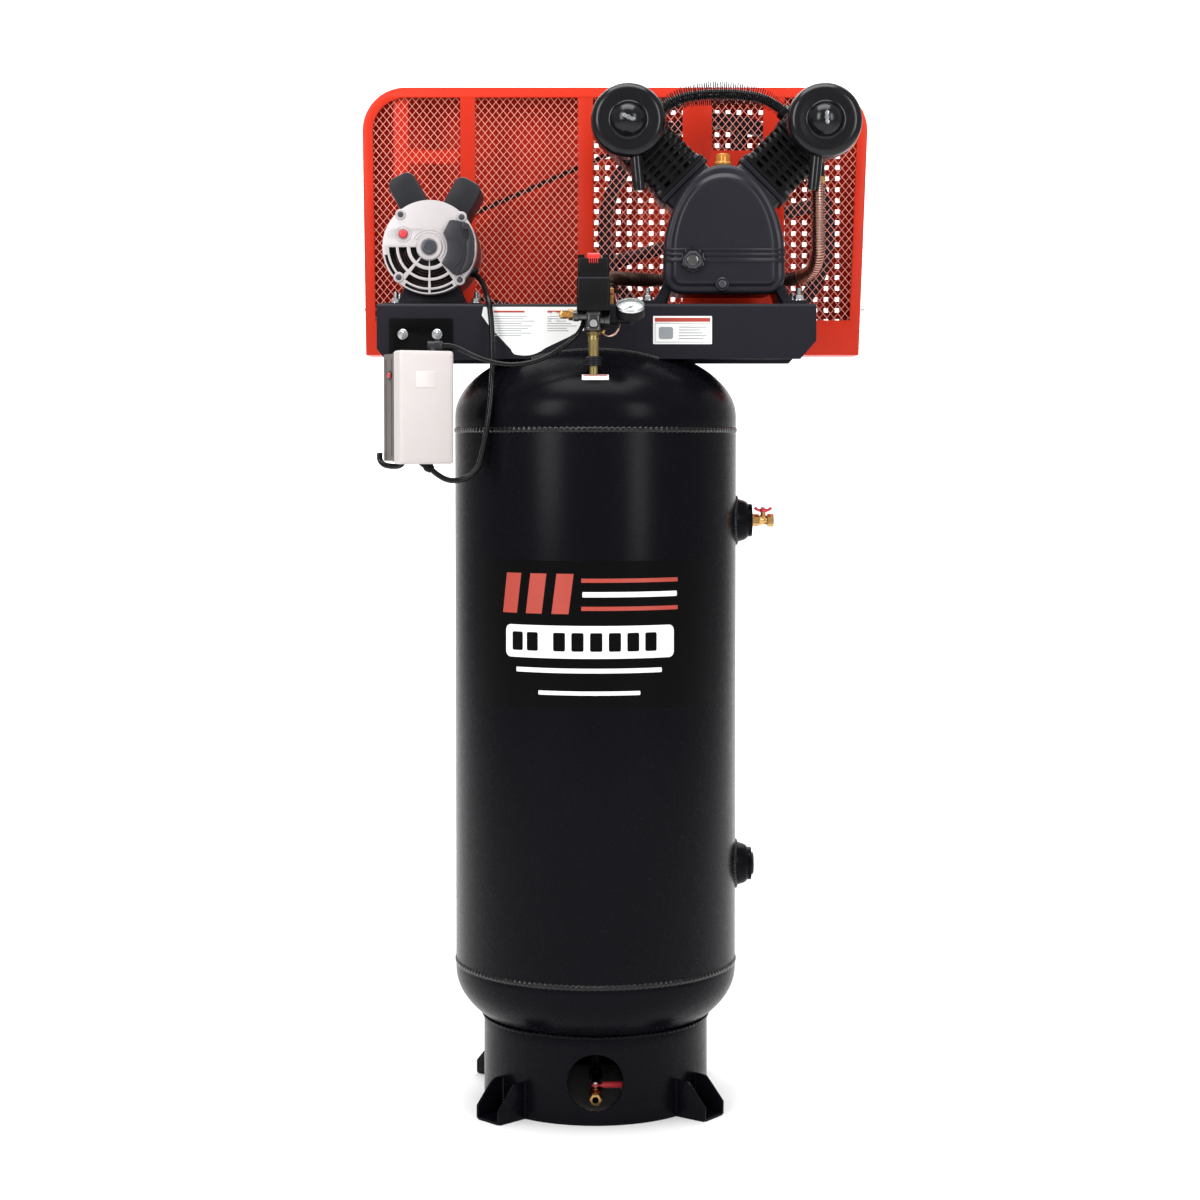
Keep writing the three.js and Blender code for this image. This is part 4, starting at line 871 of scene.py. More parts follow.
def guard_mesh():
    """Expanded metal: diamonds whose strands tilt out of the sheet."""
    low, high = span("guard_mesh")
    pitch_x, pitch_z, strand = 13.6, 16.4, 0.56
    depth = low.y + 1.1
    hub, shaft = middle("flywheel"), middle("motor_rotor")
    corner = GUARD_CORNER - 12
    bm = bmesh.new()
    corners = {}

    def knot(x, z):
        key = (round(x * 4), round(z * 4))
        if key not in corners:
            corners[key] = bm.verts.new((x, depth, z))
        return corners[key]

    def covered(x, z):
        for side, edge in ((-1, guard_low.x + 12), (1, guard_high.x - 12)):
            past = side * (x - edge)
            if past > 0:
                return False
            over_x, over_z = past + corner, z - (guard_high.z - 12 - corner)
            if over_x > 0 and over_z > 0 and math.hypot(over_x, over_z) > corner:
                return False
        clear = math.hypot(x - hub.x, z - hub.z) > 60 and math.hypot(x - shaft.x, z - shaft.z) > 34
        return clear and guard_low.z + 12 < z < guard_high.z - 12

    for row in range(int((high.z - low.z) / pitch_z * 2) + 2):
        z = low.z + row * pitch_z / 2
        for column in range(int((high.x - low.x) / pitch_x) + 2):
            x = low.x + (column + 0.5 * (row % 2)) * pitch_x
            if not covered(x, z):
                continue
            points = [(x + pitch_x / 2, z), (x, z + pitch_z / 2), (x - pitch_x / 2, z),
                      (x, z - pitch_z / 2)]
            outer = [knot(*p) for p in points]
            shrink_x, shrink_z = 1 - 2.4 * strand / pitch_x, 1 - 2.4 * strand / pitch_z
            tilt = (0.0, -0.5, 0.0, 0.5)
            inner = [
                bm.verts.new((x + (px - x) * shrink_x, depth + lean, z + (pz - z) * shrink_z))
                for (px, pz), lean in zip(points, tilt)]
            for i in range(4):
                j = (i + 1) % 4
                bm.faces.new([outer[i], outer[j], inner[j], inner[i]])
    # The strands carry the lightened red, a painted sheen.
    piece = build("guard_screen", bm, MESH_PAINT_WITH_SHEEN, stands_for=["guard_mesh"], slot="red_paint", crease=30)
    thickness = piece.modifiers.new("strand", "SOLIDIFY")
    thickness.thickness = 0.8 * MM
    thickness.offset = 0
    bm = bmesh.new()
    plate(bm,
          [[(-378, 1640), (-350, 1640), (-350, 1710), (-253, 1710), (-253, 1736), (-350, 1736),
            (-350, 1836),
                (-378, 1832)]], depth + 4, depth + 7, 0.5)
    build("guard_strap", bm, RED_PAINT, slot="red_paint", crease=35)


def guard_rear():
    seam, rear, sheet = back_low.y, back_high.y, 3
    pitch, hole = 20.9, 8.4
    loops = [guard_outline()]
    x = -3.0
    while x + hole < back_high.x - 22:
        z = back_low.z + 22
        while z + hole < back_high.z - 14:
            past_corner = math.hypot(max(0, x + hole - (back_high.x - GUARD_CORNER)),
                                     max(0, z + hole - (back_high.z - GUARD_CORNER)))
            if past_corner < GUARD_CORNER - 16:
                loops.append(rectangle(x, x + hole, z, z + hole))
            z += pitch
        x += pitch
    bm = bmesh.new()
    plate(bm, loops, rear - sheet, rear)
    build("guard_back_panel", bm, RED_PAINT, stands_for=["guard_back"], slot="red_paint", crease=35)
    bm = bmesh.new()
    plate(bm, [guard_outline(), guard_outline(sheet)], seam, rear, 0.6)
    build("guard_back_rim", bm, RED_PAINT, slot="red_paint", crease=35)
    bm = bmesh.new()
    for x in (-155, 210):
        spin(bm, [(0, -1), (4.5, -1), (4.5, 1), (3.4, 2.4), (0, 2.8)], (x, seam - 9, back_high.z),
             (0, 0, 1), 20)
    for x, side in ((back_low.x + 1, -1), (back_high.x - 3.2, 1)):
        for z in (1440, 1700):
            spin(bm, [(0, -3), (4.5, -3), (4.5, 1), (3.4, 2.4), (0, 2.8)], (x, seam - 9, z), (side, 0, 0),
                 20)
    build("guard_screws", bm, ZINC, slot="steel", crease=35)


def v_belt(name, node):
    """A V-belt round both wheels."""
    small, large = middle("motor_pulley"), middle("flywheel")
    low, high = span(node)
    y = (low.y + high.y) / 2
    near, far = small.x - low.x, high.x - large.x
    reach = math.hypot(large.x - small.x, large.z - small.z)
    heading = math.atan2(large.z - small.z, large.x - small.x)
    spread = math.acos((near - far) / reach)
    path = []
    for centre, radius, start, end, steps in (
            (small, near, heading + spread, heading - spread + 2 * math.pi, 60),
            (large, far, heading - spread, heading + spread, 220)):
        for i in range(steps + 1):
            turn = start + (end - start) * i / steps
            path.append((Vector((centre.x + radius * math.cos(turn), y,
                                 centre.z + radius * math.sin(turn))),
                         Vector((math.cos(turn), 0, math.sin(turn)))))
    bm = bmesh.new()
    rings = []
    section = [(-6, 0), (6, 0), (6.2, -1.2), (4.2, -8.4), (-4.2, -8.4), (-6.2, -1.2)]
    for point, out in path:
        rings.append([bm.verts.new(point + Vector((0, across, 0)) + out * depth) for across,
                      depth in section])
    skin(bm, rings, join_ends=True)
    build(name, bm, RUBBER, stands_for=[node], slot="rubber", crease=40)


def wheel():
    """The pump's flywheel: a grooved rim, six tapered arms and a bored hub."""
    low, high = span("flywheel")
    centre = middle("flywheel")
    outer = (high.x - low.x) / 2
    rim = [(199, -20), (201, -21), (outer - 2, -21), (outer, -19), (outer, -8), (outer - 12, -4.6),
           (outer - 12, 4.6),
           (outer, 8), (outer, 19), (outer - 2, 21), (201, 21), (199, 20), (197, 8), (197, -8)]
    bm = bmesh.new()
    spin(bm, rim, centre, (0, 1, 0), 120)
    hub = [(15, -20), (30, -20), (36, -17), (40, -10), (40, 10), (36, 17), (30, 20), (15, 20)]
    spin(bm, hub, centre, (0, 1, 0), 64)
    for i in range(6):
        turn = Matrix.Translation(centre) @ Matrix.Rotation(-math.radians(76 + 60 * i), 4, "Y")
        arm = [(36, 15, 9), (80, 12.5, 7.5), (150, 11.5, 7), (199, 14, 9)]
        rings = []
        for reach, half_width, half_depth in arm:
            rings.append([
                bm.verts.new(turn @ Vector((reach, half_depth * math.sin(a), half_width * math.cos(a))))
                for a in (2 * math.pi * k / 20 for k in range(20))])
        skin(bm, rings, close_ends=True)
    build("flywheel_casting", bm, CAST_PAINT, "crank", ["flywheel"], "cast_iron", crease=40)
    bm = bmesh.new()
    end = span("crankshaft")[1].y
    spin(bm, [(0, 0), (16, 0), (16, 2), (15, 3), (0, 3)], (centre.x, end, centre.z), (0, 1, 0), 32)
    hexagon(bm, (centre.x, end + 3, centre.z), (0, 1, 0), 19, 9)
    build("flywheel_bolt", bm, ZINC, "crank", slot="steel", crease=30)


def small_pulley():
    low, high = span("motor_pulley")
    centre = middle("motor_pulley")
    outer, half = (high.x - low.x) / 2, (high.y - low.y) / 2
    profile = [(9.3, -half), (17, -half), (18, -half + 1), (18, -5), (48, -5), (50, -half + 1),
               (outer - 1, -half + 2),
               (outer, -half + 4), (outer, -8), (outer - 12, -4.6), (outer - 12, 4.6), (outer, 8),
               (outer, half - 4),
               (outer - 1, half - 2), (50, half - 1), (48, 5), (18, 5), (18, half - 1), (17, half),
               (9.3, half)]
    bm = bmesh.new()
    spin(bm, profile, centre, (0, 1, 0), 72)
    build("pulley_casting", bm, STEEL, "rotor", ["motor_pulley"], "steel", crease=30)


guard_front()
guard_mesh()
guard_rear()
v_belt("belt_loop", "drive_belt")
wheel()
small_pulley()

# ---------- motor ----------
shaft = middle("motor_rotor")
motor_low, motor_high = span("motor_frame")
bell_low, bell_high = span("motor_front_bell")
MOTOR_RADIUS = (bell_high.x - bell_low.x) / 2
BELL_FACE = bell_low.y + 8
CRADLE_TOP = DECK_TOP + 6


def shifted(outline, by=None):
    """An outline drawn about a hub, moved to that hub."""
    by = by or shaft
    return [(x + by.x, z + by.z) for x, z in outline]


def motor_bell():
    """The cast front bell, with vents below its hub, and the windings seen through them."""
    radius, face, seam = MOTOR_RADIUS, BELL_FACE, bell_high.y
    loops = [circle(0, 0, radius, 120), circle(-46, 23, 7.6, 28)]
    for inner, outer in ((23.5, 33.5), (40, 54), (59, 71)):
        for start, end in ((180, 226), (233, 268), (272, 306)):
            loops.append(ring_sector(0, 0, inner, outer, start, end))
    for start, end in ((190, 222), (237, 268.5), (271.5, 302)):
        loops.append(ring_sector(0, 0, 75, 80, start, end))
    bm = bmesh.new()
    plate(bm, [shifted(loop) for loop in loops], face, face + 4.5, 1.1)
    hub = (shaft.x, face, shaft.z)
    spin(bm, [(radius, -3), (radius, face - seam), (radius - 3, face - seam), (radius - 3, -3)], hub,
         (0, -1, 0), 120)
    spin(bm, [(0, -2), (23, -2), (23, 1.8), (21.6, 3.6), (15.4, 3.6), (14.4, 2.4), (0, 2.4)], hub,
         (0, -1, 0), 72)
    for inner, outer in ((25.5, 28.2), (30.4, 32.6)):
        crescent = ring_sector(0, 0, inner, outer, -48, 150, 30)
        plate(bm, [shifted(crescent)], face - 1, face + 1, 0.4)
    button = (shaft.x - 46, face, shaft.z + 23)
    for inner in (9.4, 13):
        spin(bm, [(inner, -0.5), (inner, 0.5), (inner + 0.5, 0.9), (inner + 1.1, 0.9), (inner + 1.6, 0.5),
                  (inner + 1.6, -0.5)], button, (0, -1, 0), 40)
    screws = [(-50.5, 57.4), (57, 53), (-54, -53), (53.7, -57.4)]
    for x, z in screws:
        spin(bm, [(0, -3), (9.5, -3), (9.5, 0.8), (8.4, 2), (0, 2)], (shaft.x + x, face, shaft.z + z),
             (0, -1, 0), 36)
    build("motor_bell", bm, ALUMINIUM, stands_for=["motor_front_bell"], slot="cast_aluminium", crease=38)

    bm = bmesh.new()
    for x, z in screws:
        place = (shaft.x + x, face - 2, shaft.z + z)
        spin(bm, [(0, 0), (5.2, 0), (5.2, 1), (4.6, 3.2), (3.4, 4.2), (1.6, 4.4), (1.6, 3.2), (0, 3.2)],
             place,
             (0, -1, 0), 28)
    spin(bm, [(0, 2), (13.4, 2), (13.4, 5.6), (12.2, 7.4), (8.6, 8), (8, 7.4), (0, 7.4)], hub, (0, -1, 0),
         56)
    build("motor_bell_screws", bm, DARK_METAL, slot="black_plastic", crease=40)

    # A near-black disc behind the vents: painted shade for the dark inside of the motor.
    bm = bmesh.new()
    spin(bm, [(0, -17), (radius - 3.4, -17), (radius - 3.4, -18), (0, -18)], hub, (0, -1, 0), 72)
    build("motor_dark_inside", bm, SHADOW, slot="black_plastic")
    bm = bmesh.new()
    for k in range(6):
        reach = 44 + 4.6 * k
        turns = [math.radians(188 + 1.5 * i) for i in range(80)]
        sweep(bm, [Vector((shaft.x + reach * math.cos(t), face + 14 + 1.6 * math.sin(5 * t + k),
                           shaft.z + reach * math.sin(t))) for t in turns], 2.1, 8)
    # The windings use the darkened copper, a painted shade.
    build("motor_windings", bm, WINDING, slot="copper", crease=60)


def reset_button():
    low, high = span("motor_reset_button")
    centre = middle("motor_reset_button")
    size = (high.x - low.x) / 2
    bm = bmesh.new()
    spin(bm,
         [(0, low.y - high.y), (size, low.y - high.y), (size, -1.6), (size * 0.86, -0.3), (size * 0.5, 0),
          (0, 0.1)],
         (centre.x, low.y, centre.z), (0, -1, 0), 40)
    build("reset_cap", bm, RED_PLASTIC, "reset_button", ["motor_reset_button"], "red_plastic", crease=50)


def terminal_cover():
    """The wiring cover: a flat plate with a raised curved strip, and a near-black plate of painted shade in
    its small opening.
    """
    low, high = span("motor_terminal_cover")
    outline = [(36, 46), (42, 47.5), (64, 43), (70, 40), (76, 28), (80, 15), (80, -14), (76, -30),
               (70, -40), (62, -46),
               (48, -50), (42, -48), (32, -38), (22, -29), (29, -18), (32, -7), (32, 4), (30, 15), (25, 24)]
    strip = [(62, 43.5), (69, 39.5), (75, 28), (79, 15), (79, -14), (75, -30), (69, -39), (61, -45.5),
             (54, -46.5),
             (59, -38), (64, -26), (66.5, -12), (66, 8), (70, 14), (70, 30), (59, 30), (58, 40)]
    bm = bmesh.new()
    plate(bm, [shifted(outline)], low.y + 4, high.y, 1.6)
    plate(bm, [shifted(strip)], low.y, low.y + 6, 1.2)
    rib = [Vector((shaft.x + 75 * math.cos(t) - 16, low.y + 4, shaft.z + 46 * math.sin(t) - 8))
           for t in (math.radians(-42 + 7 * i) for i in range(11))]
    sweep(bm, rib, 1.5, 10)
    build("terminal_lid", bm, GREY_PLASTIC, stands_for=["motor_terminal_cover"], slot="black_plastic",
          crease=40)
    # A near-black plate stands for the opening: painted shade in the recess.
    bm = bmesh.new()
    plate(bm, [shifted(rounded(60.5, 68.5, 15, 28, 2))], low.y + 2.6, low.y + 3.6)
    build("terminal_opening_shade", bm, SHADOW, slot="black_plastic")


def motor_body():
    radius = MOTOR_RADIUS
    bm = bmesh.new()
    spin(bm,
         [(radius - 4, motor_low.y), (radius - 0.6, motor_low.y), (radius, motor_low.y + 1.2),
          (radius, -18),
              (radius - 0.8, -17), (radius - 0.8, -15), (radius, -14), (radius, motor_high.y - 1.2),
              (radius - 0.6, motor_high.y), (radius - 4, motor_high.y)], (shaft.x, 0, shaft.z), (0, 1, 0),
              96)
    seat = Vector((shaft.x + 73.3, -48, shaft.z - 38.9))
    heading = Vector((0.5, -0.7, -0.51)).normalized()
    spin(bm, [(0, -12), (8, -12), (8, 0), (9.4, 0.6), (9.4, 5), (8, 5.6), (7.4, 9), (5.6, 10), (0, 10)],
         seat, heading, 28)
    build("motor_shell", bm, CAST_PAINT, stands_for=["motor_frame"], slot="black_paint", crease=35)

    low, high = span("motor_rear_bell")
    loops = [circle(0, 0, radius - 1.5, 96), circle(0, 0, 10, 32)]
    for inner, outer in ((30, 44), (52, 68)):
        for k in range(12):
            loops.append(ring_sector(0, 0, inner, outer, 30 * k + 4, 30 * k + 26, 6))
    bm = bmesh.new()
    plate(bm, [shifted(loop) for loop in loops], high.y - 5, high.y, 1.2)
    spin(bm, [(radius - 6, low.y), (radius, low.y), (radius, high.y - 7), (radius - 2.4, high.y - 2.2),
              (radius - 6, high.y - 2)], (shaft.x, 0, shaft.z), (0, 1, 0), 96)
    spin(bm, [(9.6, high.y - 8), (20, high.y - 8), (20, high.y + 1), (18.6, high.y + 2), (9.6, high.y + 2)],
         (shaft.x, 0, shaft.z), (0, 1, 0), 48)
    build("rear_bell", bm, ALUMINIUM, stands_for=["motor_rear_bell"], slot="cast_aluminium", crease=38)


def motor_ear(node, angle, shift):
    """A capacitor cover: a moulded box that stands out from the motor's side."""
    low, high = span(node)
    turn = Matrix.Rotation(math.radians(angle), 4, "Y") @ Matrix.Translation((shift, 0, 0))
    place = Matrix.Translation((shaft.x, 0, shaft.z)) @ turn
    half, reach, corner, foot = 25, 140, 16, 76
    outline = [(-half, foot), (half, foot), *arc(half - corner, reach - corner, corner, 0, 90, 8),
               *arc(corner - half, reach - corner, corner, 90, 180, 8)]
    bm = bmesh.new()
    plate(bm, [outline], low.y, high.y, 4.5, place)
    plate(bm, [rectangle(-half - 0.8, half + 0.8, foot, foot + 9)], low.y + 4, high.y - 4, 0.8, place)
    build(node + "_shell", bm, EAR_PLASTIC, stands_for=[node], slot="black_paint", crease=35)


def motor_cradle():
    low, high = span("motor_cradle")
    x, radius = shaft.x, MOTOR_RADIUS + 0.4
    lay_flat = Matrix.Translation((x, (low.y + high.y) / 2, 0)) @ Matrix.Rotation(math.pi / 2, 4, "X")
    saddle = [(-60, CRADLE_TOP - 1), (60, CRADLE_TOP - 1)]
    saddle += [(46, 1473)] + [(t, shaft.z - math.sqrt(radius ** 2 - t ** 2)) for t in range(44, -45, -4)]
    saddle += [(-46, 1473)]
    bm = bmesh.new()
    width, depth = (high.x - low.x) / 2, (high.y - low.y) / 2
    holes = []
    for sx, sy in ((-1, -1), (-1, 1), (1, -1), (1, 1)):
        holes.append(rounded(sx * 72 - 8, sx * 72 + 8, sy * 38 - 5, sy * 38 + 5, 4.9))
    plate(bm, [rounded(-width, width, -depth, depth, 6), *holes], DECK_TOP + 0.3, CRADLE_TOP, 0.7, lay_flat)
    outline = [(px + x, pz) for px, pz in saddle]
    for y0, y1 in ((low.y + 2, low.y + 8), (high.y - 8, high.y - 2)):
        plate(bm, [outline], y0, y1, 0.7)
    plate(bm, [[(px + x, pz) for px, pz in (
        [(t, shaft.z - math.sqrt(radius ** 2 - t ** 2)) for t in range(-44, 45, 4)]
        + [(t, shaft.z - math.sqrt((radius + 5) ** 2 - t ** 2)) for t in range(44, -45, -4)])]], low.y + 6,
        high.y - 6)
    build("cradle", bm, CAST_PAINT, stands_for=["motor_cradle"], slot="black_paint", crease=35)
    bm = bmesh.new()
    for stud_x in (-64, 79):
        for stud_y in (low.y + 18, high.y - 18):
            stud(bm, (x + stud_x, stud_y, CRADLE_TOP), (0, 0, 1), 8, 19)
    build("cradle_studs", bm, ZINC, slot="steel", crease=30)


motor_bell()
reset_button()
terminal_cover()
motor_body()
motor_ear("capacitor_cover_left", -27, 8)
motor_ear("capacitor_cover_right", 29, 6)
motor_cradle()

# ---------- pump ----------
crank = middle("flywheel")
case_low, case_high = span("crankcase_cover")
CASE_HALF = (case_high.x - case_low.x) / 2
CASE_FRONT, CASE_SEAM = case_low.y + 11, case_high.y
CASE_BOTTOM, CASE_SHOULDER, CASE_APEX, CASE_CORNER = 1452, 1530, 1679, 32
BANK_ANGLE, BANK_Y = 45, -10
BARREL_FOOT, BARREL_TOP = 104, 190
HEAD_HALF, HEAD_DEPTH_HALF, HEAD_TOP = 54, 55, 248


def case_outline(inset=0.0):
    """The crankcase seen from the front: a flat foot that narrows to a rounded peak."""
    side, floor = CASE_HALF - inset, CASE_BOTTOM + inset
    peak, bend = CASE_APEX - 1.3 * inset, CASE_CORNER - inset
    half = arc(side - bend, floor + bend, bend, -90, 0, 8)
    knots = [(side, CASE_SHOULDER), (side - 6, CASE_SHOULDER + 74), (0.56 * side, peak), (0, peak)]
    for i in range(1, 21):
        t = i / 20
        weights = ((1 - t) ** 3, 3 * t * (1 - t) ** 2, 3 * t * t * (1 - t), t ** 3)
        half.append((sum(w * k[0] for w, k in zip(weights, knots)),
                     sum(w * k[1] for w, k in zip(weights, knots))))
    left = [(-x, z) for x, z in reversed(half[:-1])]
    return [(crank.x + x, z) for x, z in half + left]


def case_layers(bm, layers):
    """Lofts the case outline through (inset, y) layers and closes the last one."""
    rings = [[bm.verts.new((x, y, z)) for x, z in case_outline(inset)] for inset, y in layers]
    skin(bm, rings, close_ends=True)


def bank_place(side):
    """The frame of one cylinder: +Z is its axis, and its origin is on the crankshaft."""
    return Matrix.Translation((crank.x, BANK_Y,
                               crank.z)) @ Matrix.Rotation(side * math.radians(BANK_ANGLE), 4, "Y")


def soft_square(half, depth_half, corner, z, place, steps=6):
    """A rounded rectangle across a cylinder's axis, as points at height z."""
    points = []
    for cx, cy, start in ((half - corner, depth_half - corner, 0), (corner - half, depth_half - corner, 90),
                          (corner - half, corner - depth_half, 180),
                          (half - corner, corner - depth_half, 270)):
        points += [(px, py) for px, py in arc(cx, cy, corner, start, start + 90, steps)]
    return [place @ Vector((px, py, z)) for px, py in points]


def slab(bm, half, depth_half, corner, z0, z1, place, edge=0.8):
    """Adds a rounded block between two heights, with rounded edges."""
    steps = 4 if edge > 2 else 2
    bends = [math.pi / 2 * i / steps for i in range(steps + 1)]
    rings = []
    for inset, z in ([(edge * (1 - math.sin(t)), z0 + edge * (1 - math.cos(t))) for t in bends]
                     + [(edge * (1 - math.cos(t)), z1 - edge * (1 - math.sin(t))) for t in bends]):
        corners = soft_square(half - inset, depth_half - inset, corner - inset, z, place)
        rings.append([bm.verts.new(p) for p in corners])
    skin(bm, rings, close_ends=True)


def crankcase():
    rear = span("crankcase")[1].y - 18
    bm = bmesh.new()
    case_layers(bm,
                [(1.5, CASE_SEAM + 0.3), (0, CASE_SEAM + 1.5), (0, CASE_SEAM + 9), (3, CASE_SEAM + 11),
                 (3, rear - 12),
                     (6, rear - 4), (12, rear)])
    spin(bm, [(14.6, rear - 2), (34, rear - 2), (32, rear + 14), (29, rear + 17.5), (14.6, rear + 17.5)],
         (crank.x, 0, crank.z), (0, 1, 0), 48)
    spin(bm, [(0, -25), (18, -25), (17, 2), (15.6, 3.7), (0, 3.7)], (crank.x, -50, CASE_APEX), (0, 0, 1),
         32)
    for side in (-1, 1):
        place = bank_place(side)
        slab(bm, 50, 50, 12, 60, BARREL_FOOT - 10, place)
        slab(bm, 55, 53, 8, BARREL_FOOT - 9.5, BARREL_FOOT - 0.6, place, 1.2)
    for k in range(7):
        x = crank.x - 66 + 22 * k
        height = 60 - 5 * abs(k - 3)
        prism(bm,
              [(x - 1.6, CASE_BOTTOM + 12), (x + 1.6, CASE_BOTTOM + 12),
               (x + 1.6, CASE_BOTTOM + 12 + height),
                   (x - 1.6, CASE_BOTTOM + 12 + height)], rear - 3, rear + 4)
    build("crankcase_casting", bm, CAST_PAINT, stands_for=["crankcase"], slot="black_paint", crease=38)

    bm = bmesh.new()
    seat = DECK_TOP + 0.3
    for side in (-1, 1):
        bracket = [(98, seat), (148, seat), (150, seat + 2), (150, seat + 7), (148, seat + 9),
                   (124, seat + 9),
                   (121, seat + 10.5), (101, seat + 50), (97, seat + 52), (86, seat + 45), (85, seat + 41),
                   (106, seat + 4)]
        outline = [(crank.x + side * x, z) for x, z in bracket]
        prism(bm, outline[::side], -72, -50)
        prism(bm, outline[::side], 56, 80)
        web = [(100, seat), (118, seat), (118, seat + 10), (98, seat + 50), (88, seat + 44)]
        prism(bm, [(crank.x + side * x, z) for x, z in web][::side], -52, 58)
        lug = [(118, seat), (148, seat), (148, seat + 9), (118, seat + 9)]
        prism(bm, [(crank.x + side * x, z) for x, z in lug][::side], -52, 58)
    build("pump_feet", bm, CAST_PAINT, slot="black_paint", soften=1.2)
    bm = bmesh.new()
    for side in (-1, 1):
        for y in (-61, 68):
            stud(bm, (crank.x + side * 134, y, seat + 9), (0, 0, 1), 9, 20)
    build("pump_foot_studs", bm, ZINC, slot="steel", crease=30)


def crankcase_cover():
    front, seam = CASE_FRONT, CASE_SEAM
    bm = bmesh.new()
    case_layers(bm, [(0.6, seam), (0, seam - 1), (0, front + 17), (1.2, front + 12.5), (3.6, front + 9.6),
                     (7.5, front + 8.2), (11, front + 8), (13, front + 7), (16, front + 3),
                     (18.5, front + 1),
                     (22, front + 0.2), (26, front)])
    for z, height in ((1529, 4.5), (1520.5, 5), (1510.5, 7)):
        rings = []
        half = [(CASE_HALF + 0.4, front + 22), (CASE_HALF + 0.4, front + 12), (CASE_HALF - 3, front + 7),
                (CASE_HALF - 12, front + 4), (CASE_HALF - 21, front - 2.2)]
        for x, y in [(-x, y) for x, y in half] + [(0, front - 3)] + half[::-1]:
            ring = [(6, -0.5), (0.4, -0.5), (0, -0.3), (0, 0.3), (0.4, 0.5), (6, 0.5)]
            rings.append([bm.verts.new((crank.x + x, y + depth, z + height * up)) for depth, up in ring])
        skin(bm, rings, close_ends=True)
    drain = (crank.x - 4, front, CASE_BOTTOM + 16)
    spin(bm, [(0, -8), (13, -8), (12.4, 3), (11, 4.6), (0, 4.6)], drain, (0, -1, 0), 32)
    build("crankcase_cover_casting", bm, CAST_PAINT, stands_for=["crankcase_cover"], slot="black_paint",
          crease=50)
    bm = bmesh.new()
    spin(bm, [(0, 4), (7.4, 4), (7.4, 8), (6.4, 9.6), (4, 10.2), (4, 8), (0, 8)], drain, (0, -1, 0), 32)
    spin(bm, [(9.4, 4), (11, 4), (11, 5.6), (10.2, 6.2), (9.4, 5.6)], drain, (0, -1, 0), 32)
    build("oil_drain_screw", bm, DARK_METAL, slot="black_paint", crease=40)


def sight_glass():
    high = span("oil_sight_glass")[1]
    centre = middle("oil_sight_glass")
    seat = (centre.x, high.y, centre.z)
    bm = bmesh.new()
    scallops = [(21.4 + 1.3 * math.cos(12 * math.radians(a)), a) for a in range(0, 360, 5)]
    outline = [(centre.x + r * math.cos(math.radians(a)), centre.z + r * math.sin(math.radians(a))) for r,
               a in scallops]
    plate(bm, [outline, circle(centre.x, centre.z, 15.6, 40)], high.y - 7.6, high.y + 3, 2)
    build("sight_glass_collar", bm, WELD_PAINT, slot="black_plastic", crease=25)
    bm = bmesh.new()
    spin(bm, [(10.6, -1), (16.6, -1), (16.6, 7), (15.6, 8), (12.4, 8), (11.6, 6)], seat, (0, -1, 0), 8,
         math.radians(22.5))
    build("sight_glass_nut", bm, DARK_METAL, slot="steel", crease=30)
    bm = bmesh.new()
    spin(bm, [(0, 0), (10.9, 0), (10.9, 4.6), (9.8, 5.3), (5, 5.9), (0, 6)], seat, (0, -1, 0), 40)
    build("sight_glass_lens", bm, OIL_GLASS, stands_for=["oil_sight_glass"], slot="clear_glass", crease=50)


def filler_cap():
    low, high = span("oil_filler_cap")
    centre = middle("oil_filler_cap")
    base, tall = low.z, high.z - low.z
    bm = bmesh.new()
    spin(bm,
         [(0, 0), (14.6, 0), (15, 0.8), (15, 4), (14.2, 5), (11.4, 5.4), (11.4, tall - 2),
          (10.4, tall - 0.4),
              (8.6, tall), (5.4, tall), (4.8, tall - 1.2), (0, tall - 1.2)], (centre.x, centre.y, base),
              (0, 0, 1), 48)
    for k in range(12):
        turn = Matrix.Translation((centre.x, centre.y, 0)) @ Matrix.Rotation(math.radians(30 * k), 4, "Z")
        block(bm, (10.6, -1.4, base + 6), (12.3, 1.4, base + tall - 2.6), turn)
    build("filler_cap_body", bm, AMBER, stands_for=["oil_filler_cap"], slot="amber_plastic", crease=35)


def cylinder(node, side):
    """A finned barrel: a flange at its foot, plates above it and blocks that tie the plates together."""
    place = bank_place(side)
    bm = bmesh.new()
    slab(bm, 55, 53, 8, BARREL_FOOT, BARREL_FOOT + 8, place, 1.2)
    rings = [[bm.verts.new(place @ Vector((40 * math.cos(a), 40 * math.sin(a), z)))
              for a in (2 * math.pi * k / 40 for k in range(40))] for z in (BARREL_FOOT + 4, BARREL_TOP)]
    skin(bm, rings, close_ends=True)
    pitch = 12.4
    for i in range(6):
        z = BARREL_FOOT + 15 + pitch * i
        if z + 6 < BARREL_TOP:
            slab(bm, 51, 51, 16, z, z + 6.4, place, 0.9)
    for x in (-36, -12, 12, 36):
        for y in (-46, 46):
            block(bm, (x - 5, y - 3, BARREL_FOOT + 6), (x + 5, y + 3, BARREL_TOP - 1), place)
    for y in (-30, 0, 30):
        for x in (-46, 46):
            block(bm, (x - 3, y - 5, BARREL_FOOT + 6), (x + 3, y + 5, BARREL_TOP - 1), place)
    build(node + "_barrel", bm, FIN_PAINT, stands_for=[node], slot="black_paint", crease=35)
    bm = bmesh.new()
    axis = place.to_3x3() @ Vector((0, 0, 1))
    for x in (-45, 45):
        for y in (-43, 43):
            hexagon(bm, place @ Vector((x, y, BARREL_FOOT + 8)), axis, 11, 6)
    build(node + "_foot_bolts", bm, DARK_METAL, slot="black_paint", crease=30)


